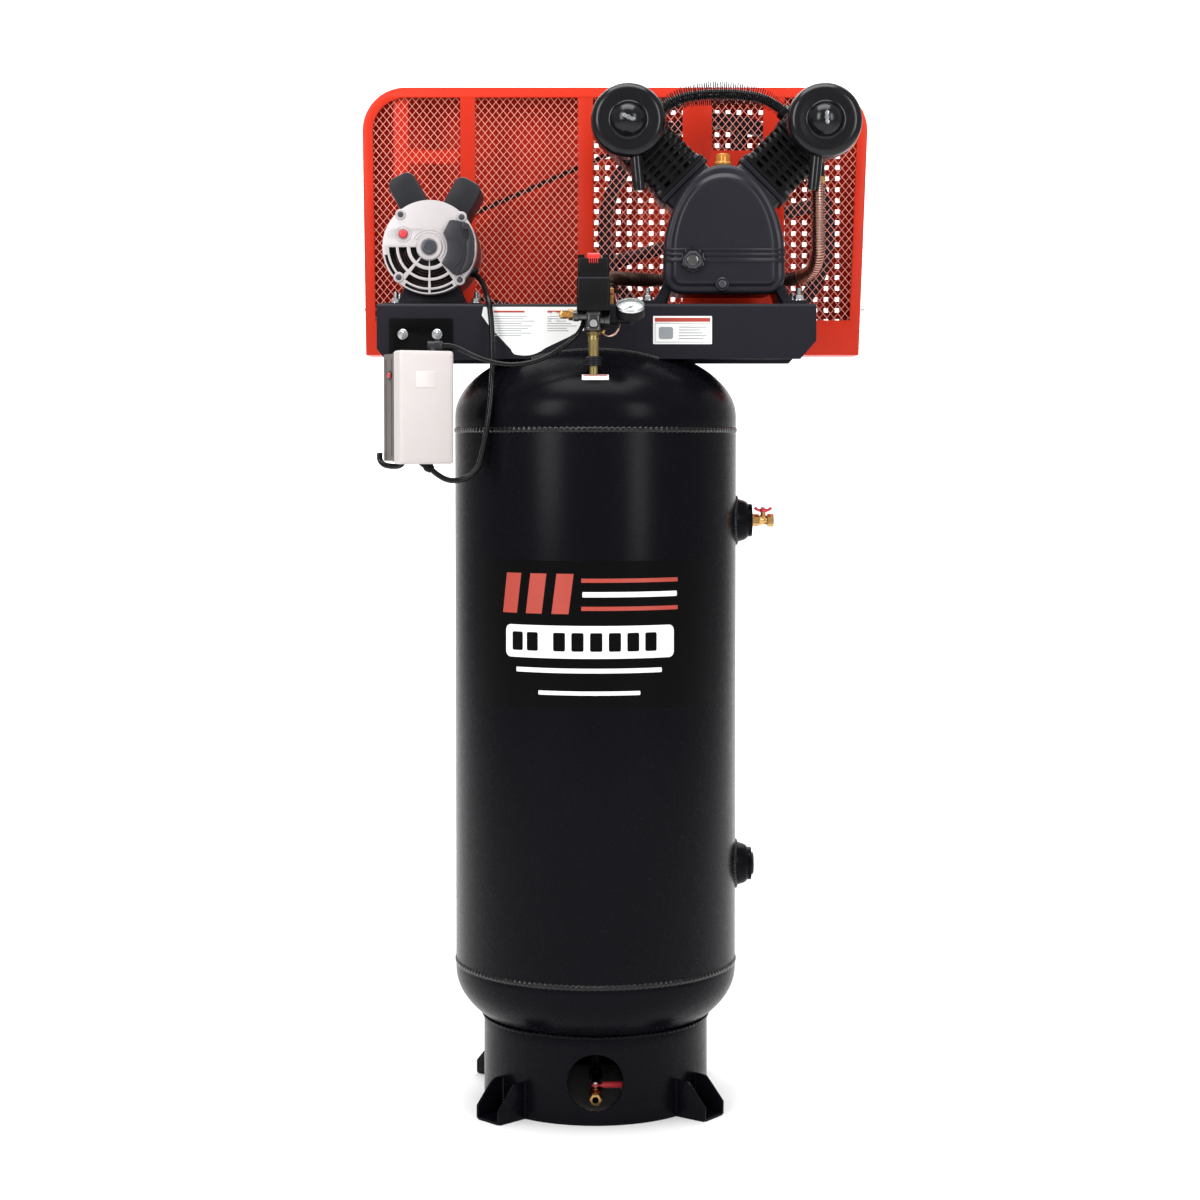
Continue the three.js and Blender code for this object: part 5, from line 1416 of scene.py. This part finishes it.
def cylinder_head(node, side):
    place = bank_place(side)
    base = BARREL_TOP + 0.3
    half, depth_half, top = HEAD_HALF, HEAD_DEPTH_HALF, HEAD_TOP
    bm = bmesh.new()
    slab(bm, half, depth_half, 9, base, base + 6, place, 0.7)
    slab(bm, half - 1.6, depth_half - 1.6, 9, base + 6.6, base + 13, place, 0.7)
    slab(bm, half, depth_half, 10, base + 13.6, top - 18, place, 1.4)
    count = 9
    for i in range(count):
        x = -half + 3 + (2 * half - 6) * i / (count - 1)
        if abs(x) < 6:
            continue
        block(bm, (x - 1.8, 5 - depth_half, top - 20), (x + 1.8, depth_half - 5, top), place)
    block(bm, (-7, 8 - depth_half, top - 20), (7, depth_half - 8, top - 6), place)
    if side > 0:
        spin(bm, [(0, 0), (12.8, 0), (12.8, 24), (11, 28), (0, 28)], (403, 30, 1671.7), (0, 0, 1), 32)
    build(node + "_casting", bm, FIN_PAINT, stands_for=[node], slot="black_paint", crease=35, soften=0)
    bm = bmesh.new()
    axis = place.to_3x3() @ Vector((0, 0, 1))
    for x in (-40, 0, 40):
        for y in (-44, 44):
            spin(bm, [(0, -6), (8, -6), (8, 0), (7, 1), (0, 1)], place @ Vector((x, y, top - 17)), axis, 24)
            hexagon(bm, place @ Vector((x, y, top - 16)), axis, 12, 7)
    build(node + "_bolts", bm, DARK_METAL, slot="black_paint", crease=30)


def air_filter(node, side):
    """A round silencer with a domed middle, a wing nut and an intake tube below."""
    centre_x, front, z = crank.x + side * 170, -190, 1747
    bm = bmesh.new()
    rings = [(0, -13), (4, -13), (11, -11.6), (18, -8.6), (24, -3.6), (28.5, 3.4), (30.4, 8.2), (33, 10.2),
             (37, 10.4),
             (44, 8.4), (52, 8.6), (57, 10.4), (61.4, 14), (64, 19), (64.8, 25), (65, 34), (63.6, 36),
             (65, 38), (65, 52),
             (63, 57), (60, 59.4), (22, 59.8), (21, 66), (21, 124.6), (0, 124.6)]
    spin(bm, rings, (centre_x, front, z), (0, 1, 0), 96)
    build(node + "_can", bm, FILTER_PAINT, stands_for=[node], slot="black_plastic", crease=42)
    top = Vector((crank.x + side * 157, -160, 1690))
    bottom = Vector((crank.x + side * 151, -160, 1628))
    bm = bmesh.new()
    path = [top.lerp(bottom, i / 12) for i in range(13)]
    sweep(bm, path, lambda t: 10.5 if 0.12 < t < 0.9 else 9.9, 32)
    spin(bm, [(0, 0), (8.4, 0), (8.6, 0.4), (8.6, 1.2), (0, 1.2)], bottom, bottom - top, 28)
    build(node + "_intake", bm, FILTER_PAINT, slot="black_plastic", crease=40)
    bm = bmesh.new()
    hub = Vector((centre_x, front - 12, z))
    spin(bm, [(0, 8), (6, 8), (5, 0), (4.4, -4.4), (3.4, -5.6), (0, -5.6)], hub, (0, 1, 0), 24)
    for wing in (-1, 1):
        tilt = Matrix.Translation(hub) @ Matrix.Rotation(math.radians(24 if side < 0 else 88), 4, "Y")
        plate(bm, [[(wing * 2, -2.4), (wing * 6, -3.6), (wing * 11, -2), (wing * 12, 1.6), (wing * 9, 3.8),
                    (wing * 4, 2.6)][::wing]], -5, -2.4, 0.6, tilt)
    build(node + "_wing_nut", bm, STEEL, slot="steel", crease=40)


crankcase()
crankcase_cover()
sight_glass()
filler_cap()
for bank_name, bank_side in (("left", -1), ("right", 1)):
    cylinder("cylinder_" + bank_name, bank_side)
    cylinder_head("head_" + bank_name, bank_side)
    air_filter("air_filter_" + bank_name, bank_side)

# ---------- tubes ----------
DISCHARGE_ROUTE = [
    (403, 30, 1671.6), (403, 30, 1655), (404, 32, 1620), (405, 40, 1570), (405, 52, 1532), (396, 74, 1505),
    (370, 96, 1493), (320, 108, 1490), (150, 112, 1490), (90, 104, 1490), (54, 76, 1490), (34, 46, 1489),
    (25.5, 25, 1482), (25, 20, 1470), (25, 20, 1458.4)]
TUBE_FIN_PITCH = 4.6
INTERCOOLER_ROUTE = [
    (109.9, 10, 1780.4), (124, 10, 1794), (152, 10, 1809), (188, 10, 1816), (227, 10, 1818),
    (266, 10, 1816),
    (302, 10, 1809), (330, 10, 1794), (344.1, 10, 1780.4)]
UNLOADER_ROUTE = [
    (13, -195.5, 1386.6), (13, -195.5, 1379), (22, -198, 1373), (34, -200, 1377), (41, -196, 1392),
    (40, -182, 1415),
    (37, -160, 1437), (33, -135, 1448), (28, -95, 1452), (25, -45, 1452), (25, 6.6, 1450)]


def finned_tube(name, stations, material, fins, crease=60, **extra):
    """A tube wound with a metal strip: each pitch of its length has a root and a fin."""
    root, tip, pitch = fins
    path, sizes = [], []
    for point, heading in stations:
        for step, size in ((0, root), (0.28, root), (0.42, tip), (0.72, tip)):
            path.append(point + heading * pitch * step)
            sizes.append(size)
    bm = bmesh.new()
    sweep(bm, path, lambda t: sizes[round(t * (len(sizes) - 1))], 20)
    build(name, bm, material, crease=crease, **extra)


def tubes():
    stations = spaced(smooth_path(DISCHARGE_ROUTE, 24), TUBE_FIN_PITCH)
    bend = next(i for i, (point, _) in enumerate(stations) if point.x < 378 and point.z < 1520)
    finned_tube("discharge_drop", stations[:bend + 1], COPPER, (9.6, 13.4, TUBE_FIN_PITCH),
                stands_for=["discharge_tube"],
                slot="copper")
    # The run behind the pump uses the darker copper, a painted shade.
    finned_tube("discharge_run", stations[bend:], SHADED_COPPER, (9.6, 12.8, TUBE_FIN_PITCH), slot="copper")
    bm = bmesh.new()
    for start, end in ((Vector(DISCHARGE_ROUTE[0]), Vector((403, 30, 1655))),
                       (Vector(DISCHARGE_ROUTE[-1]), Vector((25, 20, 1472)))):
        hexagon(bm, start, end - start, 27, 11)
        spin(bm, [(0, 11), (12.4, 11), (12.4, 13), (11, 14.4), (0, 14.4)], start, end - start, 32)
    build("discharge_nuts", bm, BRASS, slot="brass", crease=35)

    route = smooth_path(INTERCOOLER_ROUTE, 24)
    bm = bmesh.new()
    sweep(bm, route, 8.6, 24)
    for point, heading in spaced(route, 3.9):
        across = heading.cross(Vector((0, 1, 0))).normalized()
        crowd = 1 - min(1.0, abs(point.x - crank.x + 6) / 105)
        points = 11
        ring = []
        for k in range(2 * points):
            turn = math.pi * (k + dice.uniform(-0.3, 0.3)) / points
            tall = 9.5 + 3 * max(0, math.cos(turn))
            reach = 9 if k % 2 else 11.8 + tall * crowd ** 0.6 + dice.uniform(-1.6, 1.6)
            ring.append(point + (across * math.cos(turn) + Vector((0, 1, 0)) * math.sin(turn)) * reach)
        lean = dice.uniform(-0.6, 0.6)
        rings = [[bm.verts.new(p + heading * (offset + lean * (p - point).length / 18)) for p in ring]
                 for offset in (-0.7, 0.7)]
        skin(bm, rings, close_ends=True)
    for ends in (INTERCOOLER_ROUTE[:2], INTERCOOLER_ROUTE[:-3:-1]):
        start, end = map(Vector, ends)
        hexagon(bm, start, end - start, 25, 12)
    build("intercooler_wound", bm, FIN_PAINT, stands_for=["intercooler_tube"], slot="black_paint",
          crease=40)

    bm = bmesh.new()
    sweep(bm, smooth_path(UNLOADER_ROUTE, 12), 2.2, 14)
    build("unloader_line", bm, COPPER, stands_for=["unloader_tube"], slot="copper", crease=60)
    bm = bmesh.new()
    for seat, heading in ((UNLOADER_ROUTE[0], (0, 0, -1)), (UNLOADER_ROUTE[-1], (0, -1, 0))):
        hexagon(bm, seat, heading, 9, 6)
        spin(bm, [(0, 5), (3.6, 5), (3.2, 8), (2.6, 9), (0, 9)], seat, heading, 20)
    build("unloader_nuts", bm, BRASS, slot="brass", crease=35)


def check_valve():
    high = span("check_valve")[1]
    foot = dome_height(32) - 2
    bm = bmesh.new()
    spin(bm, [(0, foot), (13, foot), (13, 1418), (12, 1420), (12, 1436), (0, 1436)], (25, 20, 0),
         (0, 0, 1), 32)
    hexagon(bm, (25, 20, 1436), (0, 0, 1), 27, high.z - 1436)
    hexagon(bm, (25, 20, foot + 14), (0, 0, 1), 29, 10)
    build("check_valve_casting", bm, BRASS, stands_for=["check_valve"], slot="brass", crease=35)


# ---------- pressure switch group ----------
SWITCH_X, SWITCH_Y, SWITCH_Z = -3, -212, 1400


def pressure_switch():
    high = span("pressure_switch")[1]
    half, depth, parting, top = 28.5, 30, 1471, 1504
    bottom = 1415
    place = Matrix.Translation((SWITCH_X, SWITCH_Y, 0))
    bm = bmesh.new()
    slab(bm, half, depth, 4, bottom, parting - 1, place, 1.2)
    slab(bm, half - 1.6, depth - 1.6, 4, parting + 0.6, top, place, 1.4)
    for x0, x1 in ((2 - half, -15.2), (15.2, half - 2)):
        block(bm, (x0, 3 - depth, top - 3), (x1, depth - 3, high.z), place)
    block(bm, (-15, -6 + 20, top - 3), (15, depth - 3, high.z - 2), place)
    for x in (-half + 5, half - 5):
        block(bm, (x - 1.2, -depth - 0.7, bottom + 5), (x + 1.2, -depth + 1, parting - 6), place)
    build("switch_box", bm, BLACK_PLASTIC, stands_for=["pressure_switch"], slot="black_plastic", soften=0.9)
    bm = bmesh.new()
    slab(bm, half - 0.5, depth - 0.5, 4, parting - 1.4, parting + 0.8, place, 0.3)
    build("switch_gasket", bm, GREY_PLASTIC, slot="black_plastic", crease=40)
    bm = bmesh.new()
    slab(bm, 8, 8, 3, 1383, bottom - 0.2, Matrix.Translation((SWITCH_X + 20, SWITCH_Y + 16.5, 0)), 1)
    for x, y, size in ((-20, -195, 6.6), (SWITCH_X + 16, SWITCH_Y + 16.5, 6)):
        spin(bm, [(0, 0), (size, 0), (size, -2.4), (size - 0.8, -3), (0, -3)], (x, y, bottom), (0, 0, 1),
             28)
    spin(bm, [(4.2, -3), (6, -3), (5.6, -9), (4.6, -10.4), (4.2, -10.4)], (-20, -195, bottom), (0, 0, 1),
         28)
    build("unloader_block", bm, BLACK_PLASTIC, slot="black_plastic", crease=35)


def switch_knob():
    low, high = span("switch_knob")
    x, half = (low.x + high.x) / 2, 10.5
    bm = bmesh.new()
    profile = [(low.y, low.z), (high.y, low.z), (high.y, high.z - 5), (high.y - 3, high.z - 1),
               (high.y - 8, high.z),
               (low.y + 7, high.z), (low.y + 2, high.z - 1.6), (low.y, high.z - 5)]
    rings = [[bm.verts.new((x + offset, y, z)) for y, z in profile] for offset in (-half, half)]
    skin(bm, rings, close_ends=True)
    for k in range(5):
        ridge_x = x - 7 + 3.5 * k
        block(bm, (ridge_x - 0.8, low.y - 0.7, low.z + 3), (ridge_x + 0.8, low.y + 2, high.z - 5))
    build("knob_lever", bm, KNOB_RED, "pressure_knob", ["switch_knob"], "red_plastic", soften=1.2)


def manifold():
    x, y, z = SWITCH_X, SWITCH_Y, SWITCH_Z
    place = Matrix.Translation((x, y, 0))
    bm = bmesh.new()
    slab(bm, 13, 13, 6, 1381.6, 1388, place, 0.8)
    slab(bm, 11.6, 11.6, 5, 1387, 1409, place, 0.8)
    slab(bm, 13.4, 13.4, 6, 1408, 1414.6, place, 0.8)
    for side, reach in ((-1, 34.8), (1, 28)):
        spin(bm,
             [(0, 4), (8.4, 4), (8.4, reach - 10), (9.6, reach - 9), (9.6, reach - 0.6), (8.8, reach),
              (0, reach)],
             (x, y, z + (7 if side < 0 else 0)), (side, 0, 0), 32)
    spin(bm, [(0, 6), (9, 6), (9, 15), (8.2, 16), (0, 16)], (x, y, z - 6), (0, -1, 0), 32)
    build("manifold_casting", bm, CAST_ZINC, stands_for=["pressure_manifold"], slot="steel", crease=40)
    bm = bmesh.new()
    spin(bm, [(0, 15), (6.6, 15), (6.6, 17.2), (5.8, 18), (2.6, 18), (2.6, 16.6), (0, 16.6)],
         (x, y, z - 6), (0, -1, 0), 28)
    build("manifold_plug", bm, ZINC, slot="steel", crease=35)


def riser():
    """The brass pipe that carries the switch, and the ridged black collar round its foot."""
    x, y = SWITCH_X, SWITCH_Y
    high = span("riser_nipple")[1]
    bm = bmesh.new()
    foot = dome_height(math.hypot(x, y) + 8) - 2
    spin(bm,
         [(0, foot), (8, foot), (8, 1322), (9.2, 1338), (9.2, 1364), (9.6, 1365), (9.6, 1369), (9, 1370),
              (9, high.z), (0, high.z)], (x, y, 0), (0, 0, 1), 40)
    hexagon(bm, (x, y, high.z - 7), (0, 0, 1), 20.5, 6.6)
    build("riser_pipe", bm, OLIVE_BRASS, stands_for=["riser_nipple"], slot="brass", crease=35)
    profile = [(0, 1320.6), (11, 1320.6)]
    for k in range(4):
        z = 1321.4 + 4 * k
        profile += [(12.4, z), (14.4, z + 0.9), (14.4, z + 2.2), (12.4, z + 3)]
    bm = bmesh.new()
    spin(bm, profile + [(10, 1338), (0, 1338)], (x, y, 0), (0, 0, 1), 44)
    build("riser_bush", bm, CAST_PAINT, slot="black_paint", crease=35)


gauge_place = Matrix.Translation((60, SWITCH_Y, 1407)) @ Matrix.Rotation(math.radians(121), 4, "X")


def gauge():
    """A small dial in a black case: a bright rim, a scale round most of it and a curved glass."""
    origin = gauge_place.translation
    axis = gauge_place.to_3x3() @ Vector((0, 1, 0))
    bm = bmesh.new()
    spin(bm, [(0, 0), (21, 0), (24, 1.6), (24.6, 4), (24.6, 20), (22.4, 20), (22.4, 15.4), (0, 15.4)],
         origin, axis, 64)
    spin(bm, [(0, -14), (6, -14), (6, -2), (8, 0), (0, 0)], origin, axis, 28)
    spin(bm, [(0, 25), (6, 25), (6, 60), (0, 60)], (SWITCH_X, SWITCH_Y, SWITCH_Z), (1, 0, 0), 24)
    hexagon(bm, (SWITCH_X + 29, SWITCH_Y, SWITCH_Z), (1, 0, 0), 15, 12)
    build("gauge_case", bm, BLACK_PLASTIC, stands_for=["pressure_gauge"], slot="white_enamel", crease=35)
    bm = bmesh.new()
    spin(bm, [(22.6, 18), (24.8, 18), (25, 19), (25, 21.2), (24.2, 22.3), (23, 22.3), (22.6, 21)], origin,
         axis, 64)
    build("gauge_rim", bm, ZINC, slot="white_enamel", crease=50)
    bm = bmesh.new()
    spin(bm, [(0, 15.4), (22.5, 15.4), (22.5, 15.9), (0, 15.9)], origin, axis, 64)
    build("gauge_dial", bm, ENAMEL, slot="white_enamel", crease=40)
    bm = bmesh.new()
    for k in range(41):
        turn = gauge_place @ Matrix.Rotation(math.radians(-45 - 270 * k / 40), 4, "Y")
        inner = 15.2 if k % 10 == 0 else 16.8 if k % 5 == 0 else 18
        width = 0.42 if k % 5 == 0 else 0.2
        block(bm, (-width, 15.8, inner), (width, 16.05, 20), turn)
    plate(bm, [ring_sector(0, 0, 20.2, 20.7, -225, 45, 40)], 15.8, 16.05, 0, gauge_place)
    build("gauge_scale", bm, NEEDLE_PAINT, slot="needle_paint", crease=40)
    bm = bmesh.new()
    spin(bm, [(0, 20.4), (22.4, 19), (22.4, 19.6), (12, 20.9), (0, 21.3)], origin, axis, 64)
    build("gauge_glass", bm, GLASS, slot="clear_glass", crease=60)


def gauge_needle():
    turn = gauge_place @ Matrix.Rotation(math.radians(-45), 4, "Y")
    bm = bmesh.new()
    plate(bm, [[(-1.1, -6), (1.1, -6), (0.9, 0), (0.35, 16.5), (-0.35, 16.5), (-0.9, 0)]], 17.2, 17.8, 0,
          turn)
    axis = gauge_place.to_3x3() @ Vector((0, 1, 0))
    spin(bm, [(0, 16), (2.4, 16), (2.4, 18), (1.6, 18.7), (0, 18.8)], gauge_place.translation, axis, 28)
    build("needle_blade", bm, NEEDLE_PAINT, "needle", ["gauge_needle"], "needle_paint", crease=40)


def safety_valve():
    ring_low, ring_high = span("safety_pull_ring")
    x, y, z = SWITCH_X - 34.9, SWITCH_Y, SWITCH_Z + 9
    bm = bmesh.new()
    spin(bm, [(0, -2), (6.4, -2), (6.4, 3), (0, 3)], (x, y, z), (-1, 0, 0), 28)
    hexagon(bm, (x - 0.4, y, z), (-1, 0, 0), 17, 8)
    profile = [(0, 7), (7, 7), (7, 9)]
    for k in range(5):
        profile += [(7.4, 9.6 + 2 * k), (6.6, 10.6 + 2 * k)]
    profile += [(6.8, 20), (6, 22), (3.4, 22.6), (2.4, 24.2), (0, 24.2)]
    spin(bm, profile, (x, y, z), (-1, 0, 0), 32)
    build("safety_valve_casting", bm, BRASS, stands_for=["safety_valve"], slot="brass", crease=35)
    centre = Vector(((ring_low.x + ring_high.x) / 2, y, z - 4))
    loop = [centre + Vector((8.2 * math.cos(t), 2 * math.sin(t), 8.2 * math.sin(t)))
            for t in (2 * math.pi * k / 48 for k in range(49))]
    bm = bmesh.new()
    sweep(bm, loop, 0.9, 12, capped=False)
    sweep(bm, [Vector((x - 23, y, z)), Vector((x - 26, y, z - 0.4)), centre + Vector((7.4, 0, 1))], 0.9, 10)
    build("pull_ring_wire", bm, ZINC, "pull_ring", ["safety_pull_ring"], "steel", crease=60)


# ---------- starter box ----------
BOX_PLACE = Matrix.Translation((-306, -193, 0)) @ Matrix.Rotation(math.radians(27), 4, "Z")
BOX_BOTTOM, BOX_TOP = 1153, 1347


def starter_box():
    bm = bmesh.new()
    slab(bm, 50.4, 17, 7, BOX_BOTTOM, BOX_TOP, BOX_PLACE @ Matrix.Translation((0, -25.5, 0)), 5)
    slab(bm, 48, 14.6, 7, BOX_BOTTOM + 3, BOX_TOP - 3, BOX_PLACE @ Matrix.Translation((0, -28.4, 0)), 5)
    build("starter_cover", bm, BEIGE_PLASTIC, stands_for=["starter_box_cover"], slot="beige_plastic",
          crease=30)
    bm = bmesh.new()
    slab(bm, 47.4, 26, 4, BOX_BOTTOM + 5, BOX_TOP - 5, BOX_PLACE @ Matrix.Translation((0, 17.4, 0)), 1.5)
    slab(bm, 49, 1.2, 1, BOX_BOTTOM + 3, BOX_TOP - 3, BOX_PLACE @ Matrix.Translation((0, -7.6, 0)), 0.4)
    for y in (4, 30):
        block(bm, (-48.4, y - 1, BOX_BOTTOM + 14), (-47, y + 1, BOX_TOP - 14), BOX_PLACE)
    build("starter_base", bm, GREY_BEIGE, stands_for=["starter_box_base"], slot="beige_plastic", crease=30)

    bm = bmesh.new()
    plate(bm, [rounded(-22, 16, 1284, 1312, 2)], -43.6, -42.9, 0.2, BOX_PLACE)
    build("starter_blank_plate", bm, ENAMEL_GREY, slot="beige_plastic", crease=30)
    side = BOX_PLACE.to_3x3() @ Vector((-1, 0, 0))
    seat = BOX_PLACE @ Vector((-50.6, 10, 1305))
    bm = bmesh.new()
    spin(bm, [(5.6, -4.4), (8.4, -4.4), (8.4, -2.6), (7.6, -2), (5.6, -2)], seat, side, 32)
    build("starter_button_collar", bm, BLACK_PLASTIC, slot="beige_plastic", crease=35)
    bm = bmesh.new()
    spin(bm, [(0, -5), (5, -5), (5, -0.2), (4.4, 0.6), (0, 0.9)], seat, side, 32)
    build("button_cap", bm, RED_PLASTIC, "start_button", ["starter_button"], "red_plastic", crease=40)


def cable_gland(name, tip, heading, material, stub=None):
    """A moulded elbow or straight gland that ends at the cable's tip."""
    tip, heading = Vector(tip), Vector(heading).normalized()
    bm = bmesh.new()
    spin(bm,
         [(0, -26), (7.4, -26), (7.4, -14), (8.4, -13.4), (8.4, -5), (7.8, -4.4), (7.2, -1), (5.6, 0),
          (0, 0)],
         tip, heading, 32)
    for k in range(12):
        turn = aim(tip, heading) @ Matrix.Rotation(math.radians(30 * k), 4, "Z")
        block(bm, (7.9, -0.7, -12.6), (9.0, 0.7, -5.6), turn)
    if stub:
        top = tip + heading * -17
        spin(bm, [(0, 0), (7.2, 0), (7.2, 9), (0, 9)], (top.x, top.y, stub), (0, 0, 1), 28)
        spin(bm, [(0, 0), (9.4, 0), (9.4, 2.4), (8.6, 3.2), (0, 3.2)], (top.x, top.y, stub), (0, 0, 1), 8)
    build(name, bm, material, slot="beige_plastic", crease=35)


def starter_fittings():
    cable_gland("upper_gland", (-262, -205, 1357), (1, 0, 0), GREY_PLASTIC, BOX_TOP - 0.6)
    cable_gland("lower_gland", (-282.43, -184, 1141.9), (0.766, 0, -0.643), BLACK_PLASTIC)
    boot = [(-28, 4, 1160), (-28.5, 5, 1153), (-33, 14, 1149), (-41, 28, 1149), (-48, 40, 1152),
            (-52, 47, 1160),
            (-52, 48, 1172)]
    bm = bmesh.new()
    sweep(bm, smooth_path([tuple(BOX_PLACE @ Vector(p)) for p in boot], 8), 5, 20)
    spin(bm, [(0, 0), (7.6, 0), (7.6, 5), (6.4, 6.4), (0, 6.4)], BOX_PLACE @ Vector((-28, 4, 1158.4)),
         (0, 0, -1), 28)
    build("lead_boot", bm, RUBBER, slot="beige_plastic", crease=50)

    low, high = span("starter_bracket")
    bm = bmesh.new()
    plate(bm, [rounded(low.x, high.x, low.z, high.z, 3), circle(-337, 1379, 5), circle(-277, 1379, 5)],
          low.y, high.y, 0.5)
    build("box_bracket", bm, DARK_PLATE, stands_for=["starter_bracket"], slot="black_paint", crease=35)
    bm = bmesh.new()
    for x in (-337, -277):
        seat = (x, low.y, 1379)
        spin(bm, [(0, -3), (9, -3), (9, 0.9), (8.2, 1.5), (0, 1.5)], seat, (0, -1, 0), 36)
        hexagon(bm, (x, low.y - 1.5, 1379), (0, -1, 0), 13, 6, 0.3)
        spin(bm, [(0, 0), (4.4, 0), (4.2, 4), (3.4, 4.8), (0, 4.8)], (x, low.y - 7.2, 1379), (0, -1, 0), 24)
    build("bracket_bolts", bm, ZINC, slot="steel", crease=30)


def inner_works():
    """The moving pieces inside the pump and motor keep their CAD shape."""
    for name, material in (("piston_left", ALUMINIUM), ("piston_right", ALUMINIUM), ("crankshaft", STEEL),
                           ("motor_rotor", STEEL)):
        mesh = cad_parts[name].data
        mesh.materials.clear()
        mesh.materials.append(material)


tubes()
check_valve()
pressure_switch()
switch_knob()
manifold()
riser()
gauge()
gauge_needle()
safety_valve()
starter_box()
starter_fittings()
inner_works()
